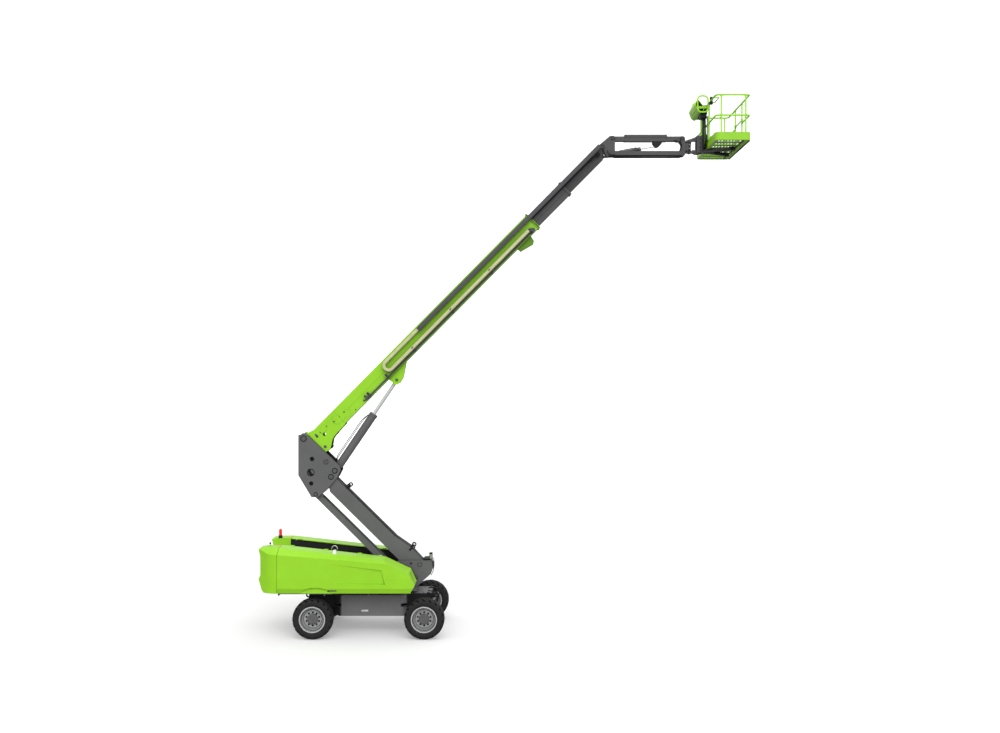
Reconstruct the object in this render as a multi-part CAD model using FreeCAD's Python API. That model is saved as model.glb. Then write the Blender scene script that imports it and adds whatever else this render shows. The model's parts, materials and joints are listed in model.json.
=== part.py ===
# Self-propelled boom lift: four wheels, a slewing turntable, a parallelogram riser,
# a three-section telescopic boom, a parallelogram jib and a two-man platform.
#
# Frame: +X points from the counterweight towards the platform, +Z is up, -Y is the near side.
# Lengths are in millimetres. The model is drawn with X = 0 on the slewing axis, and every piece
# is moved by the same amount when it is saved, so that the origin is on the ground under the
# middle of the machine's whole length.
import FreeCAD, Part

import math
import os

V = FreeCAD.Vector

# ---------------------------------------------------------------- driving dimensions
# running gear
wheelbase = 2750.0
tyre_radius = 500.0
tyre_width = 355.0
machine_width = 2490.0
rim_radius = 322.0
rim_seat_radius = 304.0
rim_wall = 12.0
rim_flange_depth = 24.0
bead_depth = 30.0
disc_depth = 128.0
dish_radius = 205.0
hub_face_depth = 62.0
hub_radius = 123.0
spindle_radius = 45.0
bearing_gap = 0.5
kingpin_offset = 822.0
drive_beam_half = 90.0
steer_beam_half = 80.0
steering_arm = 205.0

# chassis
chassis_above_axle = 470.0
chassis_below_axle = 55.0
chassis_half_width = 600.0
chassis_end_half_width = 390.0
chassis_wide_half_length = 800.0
chassis_half_length = 1520.0
chassis_wall = 16.0

# turntable
slew_ring_radius = 560.0
slew_ring_height = 70.0
deck_bottom = 1040.0
deck_thickness = 40.0
deck_half_width = 455.0
wing_bottom = 1120.0
wing_thickness = 15.0
channel_half_width = 500.0
panel_thickness = 12.0
cover_half_width = 1220.0
cover_bottom = 1140.0
cover_wall = 15.0
cover_rear = -2242.0
cover_gap = 8.0
cover_nose_start = 330.0
cover_flat_half_width = 950.0
cover_belly = 15.0
scoop_flare = 34.0
wedge_depth = 34.0
arch_middle = -1300.0
arch_reach = 400.0
arch_rise = 200.0
arch_depth = 40.0
counterweight_rear = -2750.0
counterweight_bridge_top = 1240.0
counterweight_rear_half = 930.0

# riser, with its tie and the upright that they carry
riser_foot = (1194.0, 1672.0)
riser_length = 3186.0
riser_angle = 135.4
riser_half_width = 180.0
riser_side_gap = 20.0
riser_top = 60.0
riser_bottom = -300.0
riser_wall = 15.0
tie_offset = (-392.0, -445.0)
tie_height = 150.0
tie_side_gap = 25.0
foot_side_gap = 25.0
foot_plate_wall = 25.0
upright_plate_wall = 25.0

# main boom, seen along its own length: x runs from the pivot to the tip, z is square to it
boom_pivot_from_riser = (-699.0, 977.0)
boom_angle = 45.3
boom_axis_drop = 245.0
base_half_width = 170.0
base_height = 450.0
base_wall = 10.0
base_start = 330.0
base_end = 8100.0
mid_wall = 8.0
mid_start = 1500.0
mid_end = 9285.0
fly_wall = 8.0
fly_start = 2900.0
fly_end = 10450.0
collar_length = 60.0
collar_rise = 18.0
nose_pivot = (10690.0, -170.0)
nose_ear_wall = 12.0
nose_side_gap = 6.0
nose_flange = 12.0

# energy chain and its tray, on the boom's near side
chain_near = -290.0
chain_far = -200.0
chain_band = 80.0
chain_bend_radius = 120.0
chain_bend_centre = (2860.0, -231.0)
chain_moving_end = 4050.0
chain_fixed_end = 7820.0
tray_height = 127.0
tray_centre = -110.0
tray_wall = 5.0

# jib
jib_length = 1790.0
jib_spacing = 385.0
jib_root_from_nose = (274.0, 221.0)
jib_half_height = 59.0
jib_half_width = 75.0
jib_side_gap = 7.0
jib_link_wall = 20.0
jib_tie_gap = 6.0
jib_tie_wall = 28.0

# rotator and platform
rotator_from_jib = (160.0, -210.0)
rotator_radius = 75.0
rotator_height = 230.0
bracket_reach = 386.0
bracket_rise = 168.0
platform_from_rotator = 451.0
platform_depth = 880.0
platform_half_length = 1220.0
platform_floor_drop = 68.0
toe_board_height = 187.0
toe_board_wall = 6.0
floor_thickness = 25.0
rail_height = 1119.0
mid_rail_height = 615.0
rail_radius = 19.0
post_radius = 16.0
rail_corner = 105.0
tube_sides = 12
plank_count = 7
plank_rise = 5.0
plank_margin = 60.0
plank_slots = 9
gate_half_width = 360.0

# hydraulic cylinders
boom_cylinder_foot = (97.0, 156.0)
boom_cylinder_eye = (2733.0, -629.0)
riser_cylinder_foot = (1086.0, 1337.0)
riser_cylinder_eye = (1600.0, -135.0)
jib_cylinder_eye = (1130.0, -175.0)

# fits
pin_gap = 0.5
side_gap = 5.0
section_side_gap = 12.0
section_top_gap = 22.5
tyre_seat_gap = 1.0


# ---------------------------------------------------------------- shared helpers
def corner(before, at, after, radius):
    """Two tangent points and the middle of the arc that rounds one corner of an outline."""
    a, p, b = (V(q[0], 0, q[1]) for q in (before, at, after))
    u = (a - p).normalize()
    w = (b - p).normalize()
    half = u.getAngle(w) / 2
    reach = radius / math.tan(half)
    centre = p + (u + w).normalize() * (radius / math.sin(half))
    middle = centre + (p - centre).normalize() * radius
    return p + u * reach, middle, p + w * reach


def outline(points):
    """A closed wire in the XZ plane. A point is (x, z), or (x, z, r) for a rounded corner."""
    edges = []
    last = first = None
    n = len(points)
    for i, at in enumerate(points):
        if len(at) == 3:
            start, middle, end = corner(points[i - 1], at, points[(i + 1) % n], at[2])
        else:
            start = end = V(at[0], 0, at[1])
        if last is None:
            first = start
        elif (start - last).Length > 1e-6:
            edges.append(Part.makeLine(last, start))
        if len(at) == 3:
            edges.append(Part.Arc(start, middle, end).toShape())
        last = end
    if (first - last).Length > 1e-6:
        edges.append(Part.makeLine(last, first))
    return Part.Wire(edges)


def slab(points, y0, y1):
    """A plate with the given side outline, between two Y values."""
    face = Part.Face(outline(points))
    face.translate(V(0, y0, 0))
    return face.extrude(V(0, y1 - y0, 0))


def box(x0, x1, y0, y1, z0, z1):
    return Part.makeBox(x1 - x0, y1 - y0, z1 - z0, V(x0, y0, z0))


def rod(radius, start, end):
    """A round bar from one point to another."""
    axis = V(*end) - V(*start)
    return Part.makeCylinder(radius, axis.Length, V(*start), axis)


def pin(radius, x, z, y0, y1):
    """A round pin along Y."""
    return rod(radius, (x, y0, z), (x, y1, z))


def fuse(shapes):
    whole = shapes[0].fuse(shapes[1:]) if len(shapes) > 1 else shapes[0]
    return whole.removeSplitter()


def cut(shape, tools):
    return shape.cut(tools)


def mirrored(shape):
    """The same piece on the far side."""
    return shape.mirror(V(0, 0, 0), V(0, 1, 0))


def both_sides(shape):
    return [shape, mirrored(shape)]


def turned(x, z, angle):
    """A side-view vector turned anticlockwise by an angle in degrees."""
    c = math.cos(math.radians(angle))
    s = math.sin(math.radians(angle))
    return x * c - z * s, x * s + z * c


def placed(shape, origin, angle):
    """A piece drawn along its own length, set at its pivot and raised by its angle."""
    copy = shape.copy()
    copy.rotate(V(0, 0, 0), V(0, -1, 0), angle)
    copy.translate(V(origin[0], 0, origin[1]))
    return copy


def along(origin, angle, point):
    """Where a point of such a piece is in the machine."""
    x, z = turned(point[0], point[1], angle)
    return origin[0] + x, origin[1] + z


def section(x0, x1, half_width, height, centre, wall):
    """A hollow box section with open ends."""
    top = centre + height / 2
    low = centre - height / 2
    outer = box(x0, x1, -half_width, half_width, low, top)
    inner = box(
        x0 - 1, x1 + 1, -half_width + wall, half_width - wall, low + wall, top - wall
    )
    return outer.cut(inner)


def revolved(profile, centre_y, sign, x, z):
    """A wheel piece from its (radius, depth) profile, where depth runs inboard from the outer face."""
    points = [V(x, centre_y + sign * depth, z + radius) for radius, depth in profile]
    face = Part.Face(Part.makePolygon(points + points[:1]))
    return face.revolve(V(x, 0, z), V(0, 1, 0), 360)


# ---------------------------------------------------------------- places worked out from them
mid_half_width = base_half_width - base_wall - section_side_gap
mid_height = base_height - 2 * (base_wall + section_top_gap)
fly_half_width = mid_half_width - mid_wall - section_side_gap
fly_height = mid_height - 2 * (mid_wall + section_top_gap)
upright_plate_inner = riser_half_width + riser_side_gap
foot_plate_inner = riser_half_width + foot_side_gap
tie_half_width = riser_half_width - riser_wall - tie_side_gap
jib_link_inner = jib_half_width + jib_side_gap
jib_link_outer = jib_link_inner + jib_link_wall
jib_tie_inner = jib_link_outer + jib_tie_gap
nose_ear_inner = jib_link_outer + nose_side_gap
nose_half_width = max(fly_half_width, nose_ear_inner + nose_ear_wall)
axle_height = tyre_radius
chassis_top = axle_height + chassis_above_axle
chassis_bottom = axle_height - chassis_below_axle
wheel_face = machine_width / 2
turntable_lift = chassis_top + slew_ring_height - deck_bottom
deck_top = deck_bottom + deck_thickness
riser_head = along(riser_foot, riser_angle, (riser_length, 0))
tie_foot = (riser_foot[0] + tie_offset[0], riser_foot[1] + tie_offset[1])
boom_pivot = (
    riser_head[0] + boom_pivot_from_riser[0],
    riser_head[1] + boom_pivot_from_riser[1],
)
nose = along(boom_pivot, boom_angle, nose_pivot)
jib_root = (nose[0] + jib_root_from_nose[0], nose[1] + jib_root_from_nose[1])
jib_low_root = (jib_root[0], jib_root[1] - jib_spacing)
jib_tip = (jib_root[0] + jib_length, jib_root[1])
rotator_x = jib_tip[0] + rotator_from_jib[0]
rotator_z = jib_tip[1] + rotator_from_jib[1]
platform_near_x = rotator_x + platform_from_rotator
platform_far_x = platform_near_x + platform_depth
floor_bottom = rotator_z - platform_floor_drop
length_middle = (counterweight_rear + platform_far_x + rail_radius) / 2


def save(name, shape, lift=turntable_lift):
    """Write one piece, moved to the machine's own origin and, above the slewing ring, lifted onto it."""
    moved = shape.copy()
    moved.translate(V(-length_middle, 0, lift))
    moved.exportStep("parts/" + name + ".step")


# ---------------------------------------------------------------- running gear
def chassis_frame():
    """A welded box, wide in the middle and narrow between the wheels, with end tie-down eyes."""
    def plan(inset):
        a = chassis_half_length - inset
        b = chassis_wide_half_length + 190 - inset * 0.4
        c = chassis_wide_half_length - inset * 0.4
        w = chassis_half_width - inset
        e = chassis_end_half_width - inset
        ring = [(-a, -e), (-b, -e), (-c, -w), (c, -w), (b, -e), (a, -e)]
        ring += [(x, -y) for x, y in reversed(ring)]
        return Part.Face(Part.makePolygon([V(x, y, 0) for x, y in ring + ring[:1]]))

    outer = plan(0)
    outer.translate(V(0, 0, chassis_bottom))
    shell = outer.extrude(V(0, 0, chassis_top - chassis_bottom))
    inner = plan(chassis_wall)
    inner.translate(V(0, 0, chassis_bottom + chassis_wall))
    shell = shell.cut(inner.extrude(V(0, 0, chassis_top - chassis_bottom - 2 * chassis_wall)))
    slots = []
    for side in (-1, 1):
        for x in (-850, 850):
            slots.append(
                box(x - 95, x + 95, side * 520 - 100, side * 520 + 100, 700, 745)
            )
    axles = [
        box(x - half, x + half, -700, 700, axle_height - half, axle_height + half)
        for x, half in ((wheelbase / 2, drive_beam_half), (-wheelbase / 2, steer_beam_half))
    ]
    shell = shell.cut(slots + axles)
    eyes = []
    for end in (-1, 1):
        for side in (-1, 1):
            eye = slab(
                [
                    (end * 1500, chassis_top - 130),
                    (end * 1640, chassis_top - 110, 45),
                    (end * 1690, chassis_top - 20, 40),
                    (end * 1600, chassis_top, 30),
                    (end * 1500, chassis_top),
                ],
                side * 330 - 12,
                side * 330 + 12,
            )
            eyes.append(eye.cut(pin(30, end * 1630, chassis_top - 55, -400, 400)))
    return fuse([shell] + eyes)


def drive_axle():
    """A straight beam that carries a motor and gearbox housing inside each wheel."""
    x = wheelbase / 2
    h = drive_beam_half
    beam = box(x - h, x + h, -700, 700, axle_height - h, axle_height + h)
    ends = []
    for side in (-1, 1):
        ends.append(rod(150, (x, side * 700, axle_height), (x, side * 860, axle_height)))
        ends.append(
            rod(112, (x, side * 860, axle_height), (x, side * 1050, axle_height))
        )
        ends.append(
            rod(spindle_radius, (x, side * 1050, axle_height), (x, side * 1140, axle_height))
        )
    return fuse([beam] + ends)


def steer_axle():
    """A beam with a fork at each end for the steering knuckle."""
    x = -wheelbase / 2
    h = steer_beam_half
    beam = box(x - h, x + h, -690, 690, axle_height - h, axle_height + h)
    forks = []
    for side in (-1, 1):
        y = side * kingpin_offset
        for z in (axle_height - 152, axle_height + 112):
            arm = box(
                x - 60, x + 60, min(side * 660, y), max(side * 660, y), z, z + 40
            )
            eye = rod(60, (x, y, z), (x, y, z + 40))
            forks += [arm, eye]
        post = box(
            x - 80, x + 80, min(side * 640, side * 690), max(side * 640, side * 690),
            axle_height - 152, axle_height + 152,
        )
        forks.append(post)
    bores = [
        rod(30, (x, side * kingpin_offset, axle_height - 200),
            (x, side * kingpin_offset, axle_height + 200))
        for side in (-1, 1)
    ]
    return cut(fuse([beam] + forks), bores)


def steering_knuckle(side):
    """The kingpin barrel with the wheel's gearbox housing and spindle, and the steering arm."""
    x = -wheelbase / 2
    y = side * kingpin_offset
    z = axle_height
    barrel = rod(62, (x, y, z - 109), (x, y, z + 109))
    kingpin = rod(30 - pin_gap, (x, y, z - 160), (x, y, z + 160))
    housing = rod(105, (x, y, z), (x, side * 1050, z))
    spindle = rod(spindle_radius, (x, side * 1050, z), (x, side * 1140, z))
    arm = box(x + 40, x + steering_arm + 25, y - 25, y + 25, z - 50, z - 20)
    stud = rod(12, (x + steering_arm, y, z - 55), (x + steering_arm, y, z - 45))
    return fuse([barrel, kingpin, housing, spindle, arm, stud])


def track_rod():
    """The rod that ties the two steering arms together, drawn where it lies when driving straight."""
    x = -wheelbase / 2 + steering_arm
    z = axle_height - 75
    reach = kingpin_offset
    bar = rod(18, (x, -reach, z), (x, reach, z))
    return bar


def rim(x, side):
    """A flat-base rim on a dished disc with its planetary hub, bored for the spindle."""
    far = tyre_width
    lip = rim_flange_depth - 16
    inside = rim_seat_radius - rim_wall
    profile = [
        (rim_radius, lip),
        (rim_radius, rim_flange_depth),
        (rim_seat_radius, bead_depth),
        (rim_seat_radius, far - bead_depth),
        (rim_radius, far - rim_flange_depth),
        (rim_radius, far - lip),
        (inside, far - lip),
        (inside, disc_depth + 46),
        (dish_radius, disc_depth + 22),
        (hub_radius, disc_depth + 22),
        (hub_radius - 30, disc_depth + 62),
        (spindle_radius + bearing_gap, disc_depth + 62),
        (spindle_radius + bearing_gap, hub_face_depth + 38),
        (0, hub_face_depth + 38),
        (0, hub_face_depth),
        (hub_radius - 18, hub_face_depth),
        (hub_radius, hub_face_depth + 12),
        (hub_radius, disc_depth),
        (dish_radius, disc_depth),
        (inside, disc_depth + 26),
        (inside, lip),
    ]
    return revolved(profile, side * wheel_face, -side, x, axle_height)


def tyre(x, side):
    """A solid industrial tyre with rounded shoulders."""
    far = tyre_width
    bulge = (rim_radius + tyre_radius) / 2
    half = [
        (rim_seat_radius, bead_depth + tyre_seat_gap),
        (rim_radius + tyre_seat_gap, rim_flange_depth + 2),
        (rim_radius + 23, 8),
        (bulge + 20, 0),
        (tyre_radius - 22, 24),
        (tyre_radius, 62),
    ]
    profile = half + [(r, far - d) for r, d in reversed(half)]
    return revolved(profile, side * wheel_face, -side, x, axle_height)


# ---------------------------------------------------------------- turntable
def slewing_ring():
    """The lower race, bolted to the chassis."""
    ring = Part.makeCylinder(slew_ring_radius, slew_ring_height * 0.55, V(0, 0, chassis_top))
    return ring.cut(Part.makeCylinder(slew_ring_radius - 110, 200, V(0, 0, chassis_top - 50)))


def turntable_frame():
    """The deck over the slewing race, with a wing on each side for the engine and the tanks."""
    race_bottom = deck_bottom - slew_ring_height * 0.45 + 1
    race = Part.makeCylinder(
        slew_ring_radius - 25, deck_bottom - race_bottom, V(0, 0, race_bottom)
    )
    race = race.cut(Part.makeCylinder(slew_ring_radius - 120, 300, V(0, 0, deck_bottom - 100)))
    deck = box(counterweight_rear + 160, 1130, -deck_half_width, deck_half_width, deck_bottom, deck_top)
    wings = []
    wing_start = cover_rear + 10
    wing_end = 900
    near = deck_half_width - 20
    plate = box(
        wing_start, wing_end, -cover_half_width + 45, -near, wing_bottom, wing_bottom + wing_thickness
    )
    web = box(wing_start, wing_end, -near - 20, -near, deck_top - 10, wing_bottom + 5)
    for x in (wing_start, -1100, 0, wing_end - 20):
        wings.append(box(x, x + 20, -cover_half_width + 80, -near, deck_top - 10, wing_bottom + 5))
    wings += [plate, web]
    return fuse([race, deck] + wings + [mirrored(w) for w in wings])


def cover_top(x):
    """Height of the cover's flat top along the machine."""
    return 2220.0 - (x - cover_rear) * 0.1127


def cover_shoulder(x):
    """Height of the edge between the cover's sloped shoulder and its side."""
    return 2090.0 - (x - cover_rear) * 0.0822


def channel_panel(side):
    """The inner wall between a cover and the boom channel; the cover hangs from its top edge."""
    top_rear = cover_top(cover_rear) - 40
    top_front = cover_top(330) - 40
    y = side * (channel_half_width - 8)
    panel = slab(
        [
            (cover_rear + 5, wing_bottom + wing_thickness),
            (cover_rear + 5, top_rear),
            (330, top_front),
            (620, 1700),
            (620, wing_bottom + wing_thickness),
        ],
        y - panel_thickness / 2,
        y + panel_thickness / 2,
    )
    return panel


def boom_foot():
    """Two thick side plates that carry the riser, its tie and its cylinder."""
    inner = foot_plate_inner
    outer = inner + foot_plate_wall
    plate = slab(
        [
            (550, deck_top),
            (575, 1420, 60),
            (632, 1767),
            (1488, 1772),
            (1529, 1570, 40),
            (1480, 1430, 60),
            (1325, 1293),
            (1130, 1114),
            (1130, deck_top),
        ],
        -outer,
        -inner,
    )
    plate = plate.cut(box(940, 1000, -outer - 5, -inner + 5, 1670, 1725))
    web = box(1440, 1470, -inner, inner, 1480, 1740)
    floor_web = box(560, 1125, -inner, inner, deck_top, deck_top + 12)
    stop = rod(38, (1475, -120, 1700), (1475, -120, 1950))
    riser_pin = [pin(48, *riser_foot, side * 130, side * (outer + 12)) for side in (-1, 1)]
    tie_pin = pin(38, *tie_foot, -outer - 10, outer + 10)
    foot_pin = pin(42, *riser_cylinder_foot, -outer - 8, outer + 8)
    return fuse(both_sides(plate) + [web, floor_web, stop, tie_pin, foot_pin] + riser_pin)


def counterweight():
    """A casting in two halves joined by a low bridge, waisted at the back."""
    rear = counterweight_rear
    front = cover_rear - cover_gap
    profile = [
        (front, cover_bottom),
        (front, 2220),
        (rear + 120, 2215),
        (rear, 2195),
        (rear + 52, 2022),
        (rear + 52, 1562),
        (rear, 1449),
        (rear + 90, 1203),
        (rear + 145, cover_bottom),
    ]
    plan = outline(
        [
            (rear - 50, -channel_half_width),
            (rear - 50, -counterweight_rear_half),
            (rear + 20, -counterweight_rear_half - 60, 60),
            (rear + 330, -cover_half_width, 420),
            (front + 50, -cover_half_width),
            (front + 50, -channel_half_width),
        ]
    )
    plan.rotate(V(0, 0, 0), V(1, 0, 0), -90)
    half = slab(profile, -cover_half_width - 1, -channel_half_width)
    half = half.common(Part.Face(plan).extrude(V(0, 0, 3000)))
    edge = V(0, -cover_half_width, 2090)
    wedge = Part.Face(
        Part.makePolygon(
            [
                V(rear - 50, edge.y - 20, 2080),
                V(rear - 50, -950, 2221),
                V(rear - 50, edge.y - 20, 2300),
                V(rear - 50, edge.y - 20, 2080),
            ]
        )
    ).extrude(V(front - rear + 100, 0, 0))
    half = half.cut(wedge)
    bridge = slab(
        [
            (front, cover_bottom),
            (front, counterweight_bridge_top),
            (rear + 85, counterweight_bridge_top),
            (rear + 145, cover_bottom),
        ],
        -channel_half_width,
        channel_half_width,
    )
    return fuse(both_sides(half) + [bridge])


def cover_section(x, inset):
    """One cross-section of a side cover: inner edge, flat top, sloped shoulder, side and tucked-in foot."""
    top = cover_top(min(x, cover_nose_start))
    side = cover_shoulder(min(x, cover_nose_start))
    edge = -channel_half_width + (1 if inset else 0)
    return [
        (edge, cover_bottom - inset),
        (edge, top - inset),
        (-cover_flat_half_width + inset * 0.4, top - inset),
        (-cover_half_width + inset, side - inset * 0.6),
        (-cover_half_width - cover_belly + inset, 1500.0),
        (-cover_half_width - cover_belly + inset, 1262.0),
        (-cover_half_width + 24 + inset, cover_bottom - inset),
    ]


def scoop(points, plane, grow, y_out):
    """The hollow pressed into a cover's side: an outline that narrows down to a tilted floor.

    The floor's depth follows x between the two places of plane, and grow widens the whole hollow."""
    (xa, ya), (xb, yb) = plane
    middle_x = sum(p[0] for p in points) / len(points)
    middle_z = sum(p[1] for p in points) / len(points)

    def ring(scale, depth):
        corners = []
        for x, z in points:
            dx = x - middle_x
            dz = z - middle_z
            reach = 1 + scale / math.hypot(dx, dz)
            px = middle_x + dx * reach
            corners.append(V(px, depth(px), middle_z + dz * reach))
        return Part.makePolygon(corners + corners[:1])

    def floor(x):
        return ya + (yb - ya) * (x - xa) / (xb - xa) + grow

    return Part.makeLoft([ring(grow, floor), ring(grow + scoop_flare, lambda x: y_out)], True, True)


def cover_body(inset):
    """The cover's solid form, cut to the falling nose, with the hollows in its side."""
    stations = [cover_rear - (5 if inset else 0), cover_nose_start, 1200.0]
    wires = []
    for x in stations:
        ring = [V(x, y, z) for y, z in cover_section(x, inset)]
        wires.append(Part.makePolygon(ring + ring[:1]))
    body = Part.makeLoft(wires, True, True)
    nose_line = [
        (300, 2400),
        (300, cover_top(300) + 30 - inset),
        (345 - inset * 0.2, cover_top(330) + 2 - inset),
        (930 - inset * 0.5, 1660 - inset),
        (1000 - inset, 1630 - inset * 0.4),
        (1139 - inset, 1323),
        (1050 - inset, 1175 if not inset else 1168),
        (1020 - inset, cover_bottom - 50),
        (2000, cover_bottom - 50),
        (2000, 2400),
    ]
    body = body.cut(slab(nose_line, -cover_half_width - 100, 0))
    outside = -cover_half_width - cover_belly
    wedge = scoop(
        [(-1420, 1926), (314, 1712), (400, 1372), (-800, 1402)],
        ((-1420, outside + 4), (400, outside + wedge_depth)), inset, outside - 30,
    )
    arch_ring = [
        (arch_middle - arch_reach * math.cos(a), cover_bottom - 60 + arch_rise * math.sin(a))
        for a in (0.0, 0.45, 0.9, 1.35, math.pi - 1.35, math.pi - 0.9, math.pi - 0.45, math.pi)
    ]
    arch = scoop(
        arch_ring, ((arch_middle, outside + arch_depth), (0, outside + arch_depth)), inset, outside - 30
    )
    return body.cut([wedge, arch])


def cover():
    """The near side cover: a hollow shell, open below and towards the channel."""
    shell = cover_body(0).cut(cover_body(cover_wall))
    grip = slab(
        [(-995, 1194, 14), (-995, 1226, 14), (-775, 1226, 14), (-775, 1194, 14)],
        -cover_half_width - 60,
        -cover_half_width + 90,
    )
    vents = [
        slab(
            [(x, z - 50, 6), (x, z, 6), (x + 14, z, 6), (x + 14, z - 50, 6)],
            -cover_half_width - 60, -cover_half_width + 60,
        )
        for x in range(500, 701, 40)
        for z in (1560,)
    ]
    return shell.cut([grip] + vents)


def engine():
    """The engine as one block, under the near cover."""
    return box(-1950, -900, -1080, -560, wing_bottom + wing_thickness, 1850)


def tanks():
    """The fuel and oil tanks as one block, under the far cover."""
    return box(-1700, -300, 600, 1080, wing_bottom + wing_thickness, 1780)


def beacon():
    """A lamp on its round base, a little wider at the foot."""
    x, y, z = -2530, 560, 2220
    outline_points = [(0, 0), (46, 0), (46, 50), (40, 62), (40, 205), (26, 236), (0, 243)]
    points = [V(x + r, y, z + h) for r, h in outline_points]
    face = Part.Face(Part.makePolygon(points + points[:1]))
    return face.revolve(V(x, y, z), V(0, 0, 1), 360)


# ---------------------------------------------------------------- riser
def riser_local(shape, foot=riser_foot):
    """A piece of the riser, drawn with its upper face towards +Z, set leaning back at its angle."""
    return placed(shape.mirror(V(0, 0, 0), V(0, 0, 1)), foot, riser_angle)


def riser_arm():
    """A box arm between two deep side plates, forked at the head; its top plate lies sunk between them."""
    end = riser_length
    side_plate = slab(
        [
            (-118, -105, 85),
            (-118, 112, 85),
            (490, 140, 300),
            (930, riser_top, 500),
            (end + 80, riser_top, 60),
            (end + 80, -85, 60),
            (end - 250, riser_bottom, 80),
            (450, riser_bottom, 90),
        ],
        -riser_half_width,
        -riser_half_width + riser_wall,
    )
    side_plate = side_plate.cut(
        [pin(48 + pin_gap, 0, 0, -300, 300), pin(45 + pin_gap, end, 0, -300, 300)]
    )
    inner = riser_half_width - riser_wall
    top_plate = box(200, end - 330, -inner, inner, -12, 0)
    low_plate = box(1250, end - 300, -inner, inner, riser_bottom, riser_bottom + 12)
    eye_x, eye_z = riser_cylinder_eye
    lugs = [pin(40, eye_x, eye_z, side * 52, side * inner) for side in (-1, 1)]
    rings = []
    for x, z in ((437, 196), (2698, 146)):
        ring = pin(44, x, z, -riser_half_width + 4, -riser_half_width + 14)
        ring = ring.cut(pin(26, x, z, -300, 300))
        stem = box(x - 22, x + 22, -riser_half_width + 4, -riser_half_width + 14, z - 95, z - 35)
        rings += [ring, stem]
    collars = []
    for x in (0, end):
        collars.append(
            pin(80, x, 0, -inner, -inner + 40).cut(pin(49, x, 0, -300, 300))
        )
    sides = fuse([side_plate] + collars + rings)
    whole = fuse(both_sides(sides) + [top_plate, low_plate] + lugs)
    return riser_local(whole)


def riser_tie():
    """The lower link of the parallelogram, an open-topped channel with an eye at each end."""
    half = tie_height / 2
    beam = slab(
        [
            (-half, -half, half * 0.98),
            (-half, half, half * 0.98),
            (riser_length + half, half, half * 0.98),
            (riser_length + half, -half, half * 0.98),
        ],
        -tie_half_width,
        tie_half_width,
    )
    trough = box(160, riser_length - 160, -tie_half_width + 12, tie_half_width - 12, -half + 12, half + 5)
    bores = [pin(38 + pin_gap, x, 0, -300, 300) for x in (0, riser_length)]
    return riser_local(beam.cut([trough] + bores), tie_foot)


def upright():
    """The knuckle between riser and boom: two plates kept upright by the parallelogram."""
    inner = upright_plate_inner
    outer = inner + upright_plate_wall
    plate = slab(
        [
            (-837, 1075),
            (-770, 1080),
            (-725, 1122, 40),
            (-640, 1100, 40),
            (-598, 1068),
            (224, 281, 30),
            (252, 174, 40),
            (153, -22),
            (-89, -310),
            (-221, -434),
            (-346, -521, 25),
            (-499, -521, 25),
            (-837, 39, 30),
        ],
        -outer,
        -inner,
    )
    holes = [
        pin(48, -483, 457, -300, 0),
        pin(87, -516, 111, -300, 0),
        pin(46, -504, -169, -300, 0),
    ]
    plate = plate.cut(holes)
    ring = pin(50, -128, 381, -outer - 8, -outer)
    back = box(-837, -822, -inner, inner, 100, 820)
    web = slab([(-800, 560), (-440, -230), (-428, -224), (-788, 566)], -inner, inner)
    heads = []
    for x, z, radius, start in (
        (0, 0, 45, 120),
        (*boom_pivot_from_riser, 55, 0),
        (*tie_offset, 38, 0),
        (*boom_cylinder_foot, 48, 75),
    ):
        heads.append(pin(radius, x, z, -outer - 12, -start))
    whole = fuse(both_sides(fuse([plate, ring])) + [back, web] + heads + [mirrored(h) for h in heads])
    whole.translate(V(riser_head[0], 0, riser_head[1]))
    return whole


# ---------------------------------------------------------------- cylinders
def line_between(a, b):
    """Length and angle of the line from one side-view point to another."""
    dx = b[0] - a[0]
    dz = b[1] - a[1]
    return math.hypot(dx, dz), math.degrees(math.atan2(dz, dx))


def barrel(foot, eye, radius, bore, length, eye_radius, half_width, foot_pin):
    """A hollow cylinder barrel from its foot eye, open at the gland for the rod."""
    angle = line_between(foot, eye)[1]
    lug = pin(eye_radius, 0, 0, -half_width, half_width)
    neck = box(0, eye_radius * 2 + 10, -half_width, half_width, -eye_radius * 0.75, eye_radius * 0.75)
    start = eye_radius * 1.7
    tube = rod(radius, (start, 0, 0), (length, 0, 0))
    whole = fuse([lug, neck, tube])
    hollow = [rod(bore, (start + radius * 0.8, 0, 0), (length + 5, 0, 0))]
    if foot_pin:
        hollow.append(pin(foot_pin + pin_gap, 0, 0, -200, 200))
    return placed(cut(whole, hollow), foot, angle)


def piston_rod(foot, eye, radius, start, eye_radius, half_width, eye_pin):
    """The rod, drawn from inside the barrel to the eye at its end."""
    length, angle = line_between(foot, eye)
    bar = rod(radius, (start, 0, 0), (length - eye_radius * 0.6, 0, 0))
    lug = pin(eye_radius, length, 0, -half_width, half_width)
    whole = fuse([bar, lug])
    if eye_pin:
        whole = whole.cut(pin(eye_pin + pin_gap, length, 0, -200, 200))
    return placed(whole, foot, angle)


# ---------------------------------------------------------------- telescopic boom
def boom_local(shape):
    return placed(shape, boom_pivot, boom_angle)


def collar(end, half_width, height, centre):
    """The flange round a section's mouth."""
    outer = section(
        end - collar_length, end, half_width + collar_rise, height + 2 * collar_rise, centre, collar_rise
    )
    return outer


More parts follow.
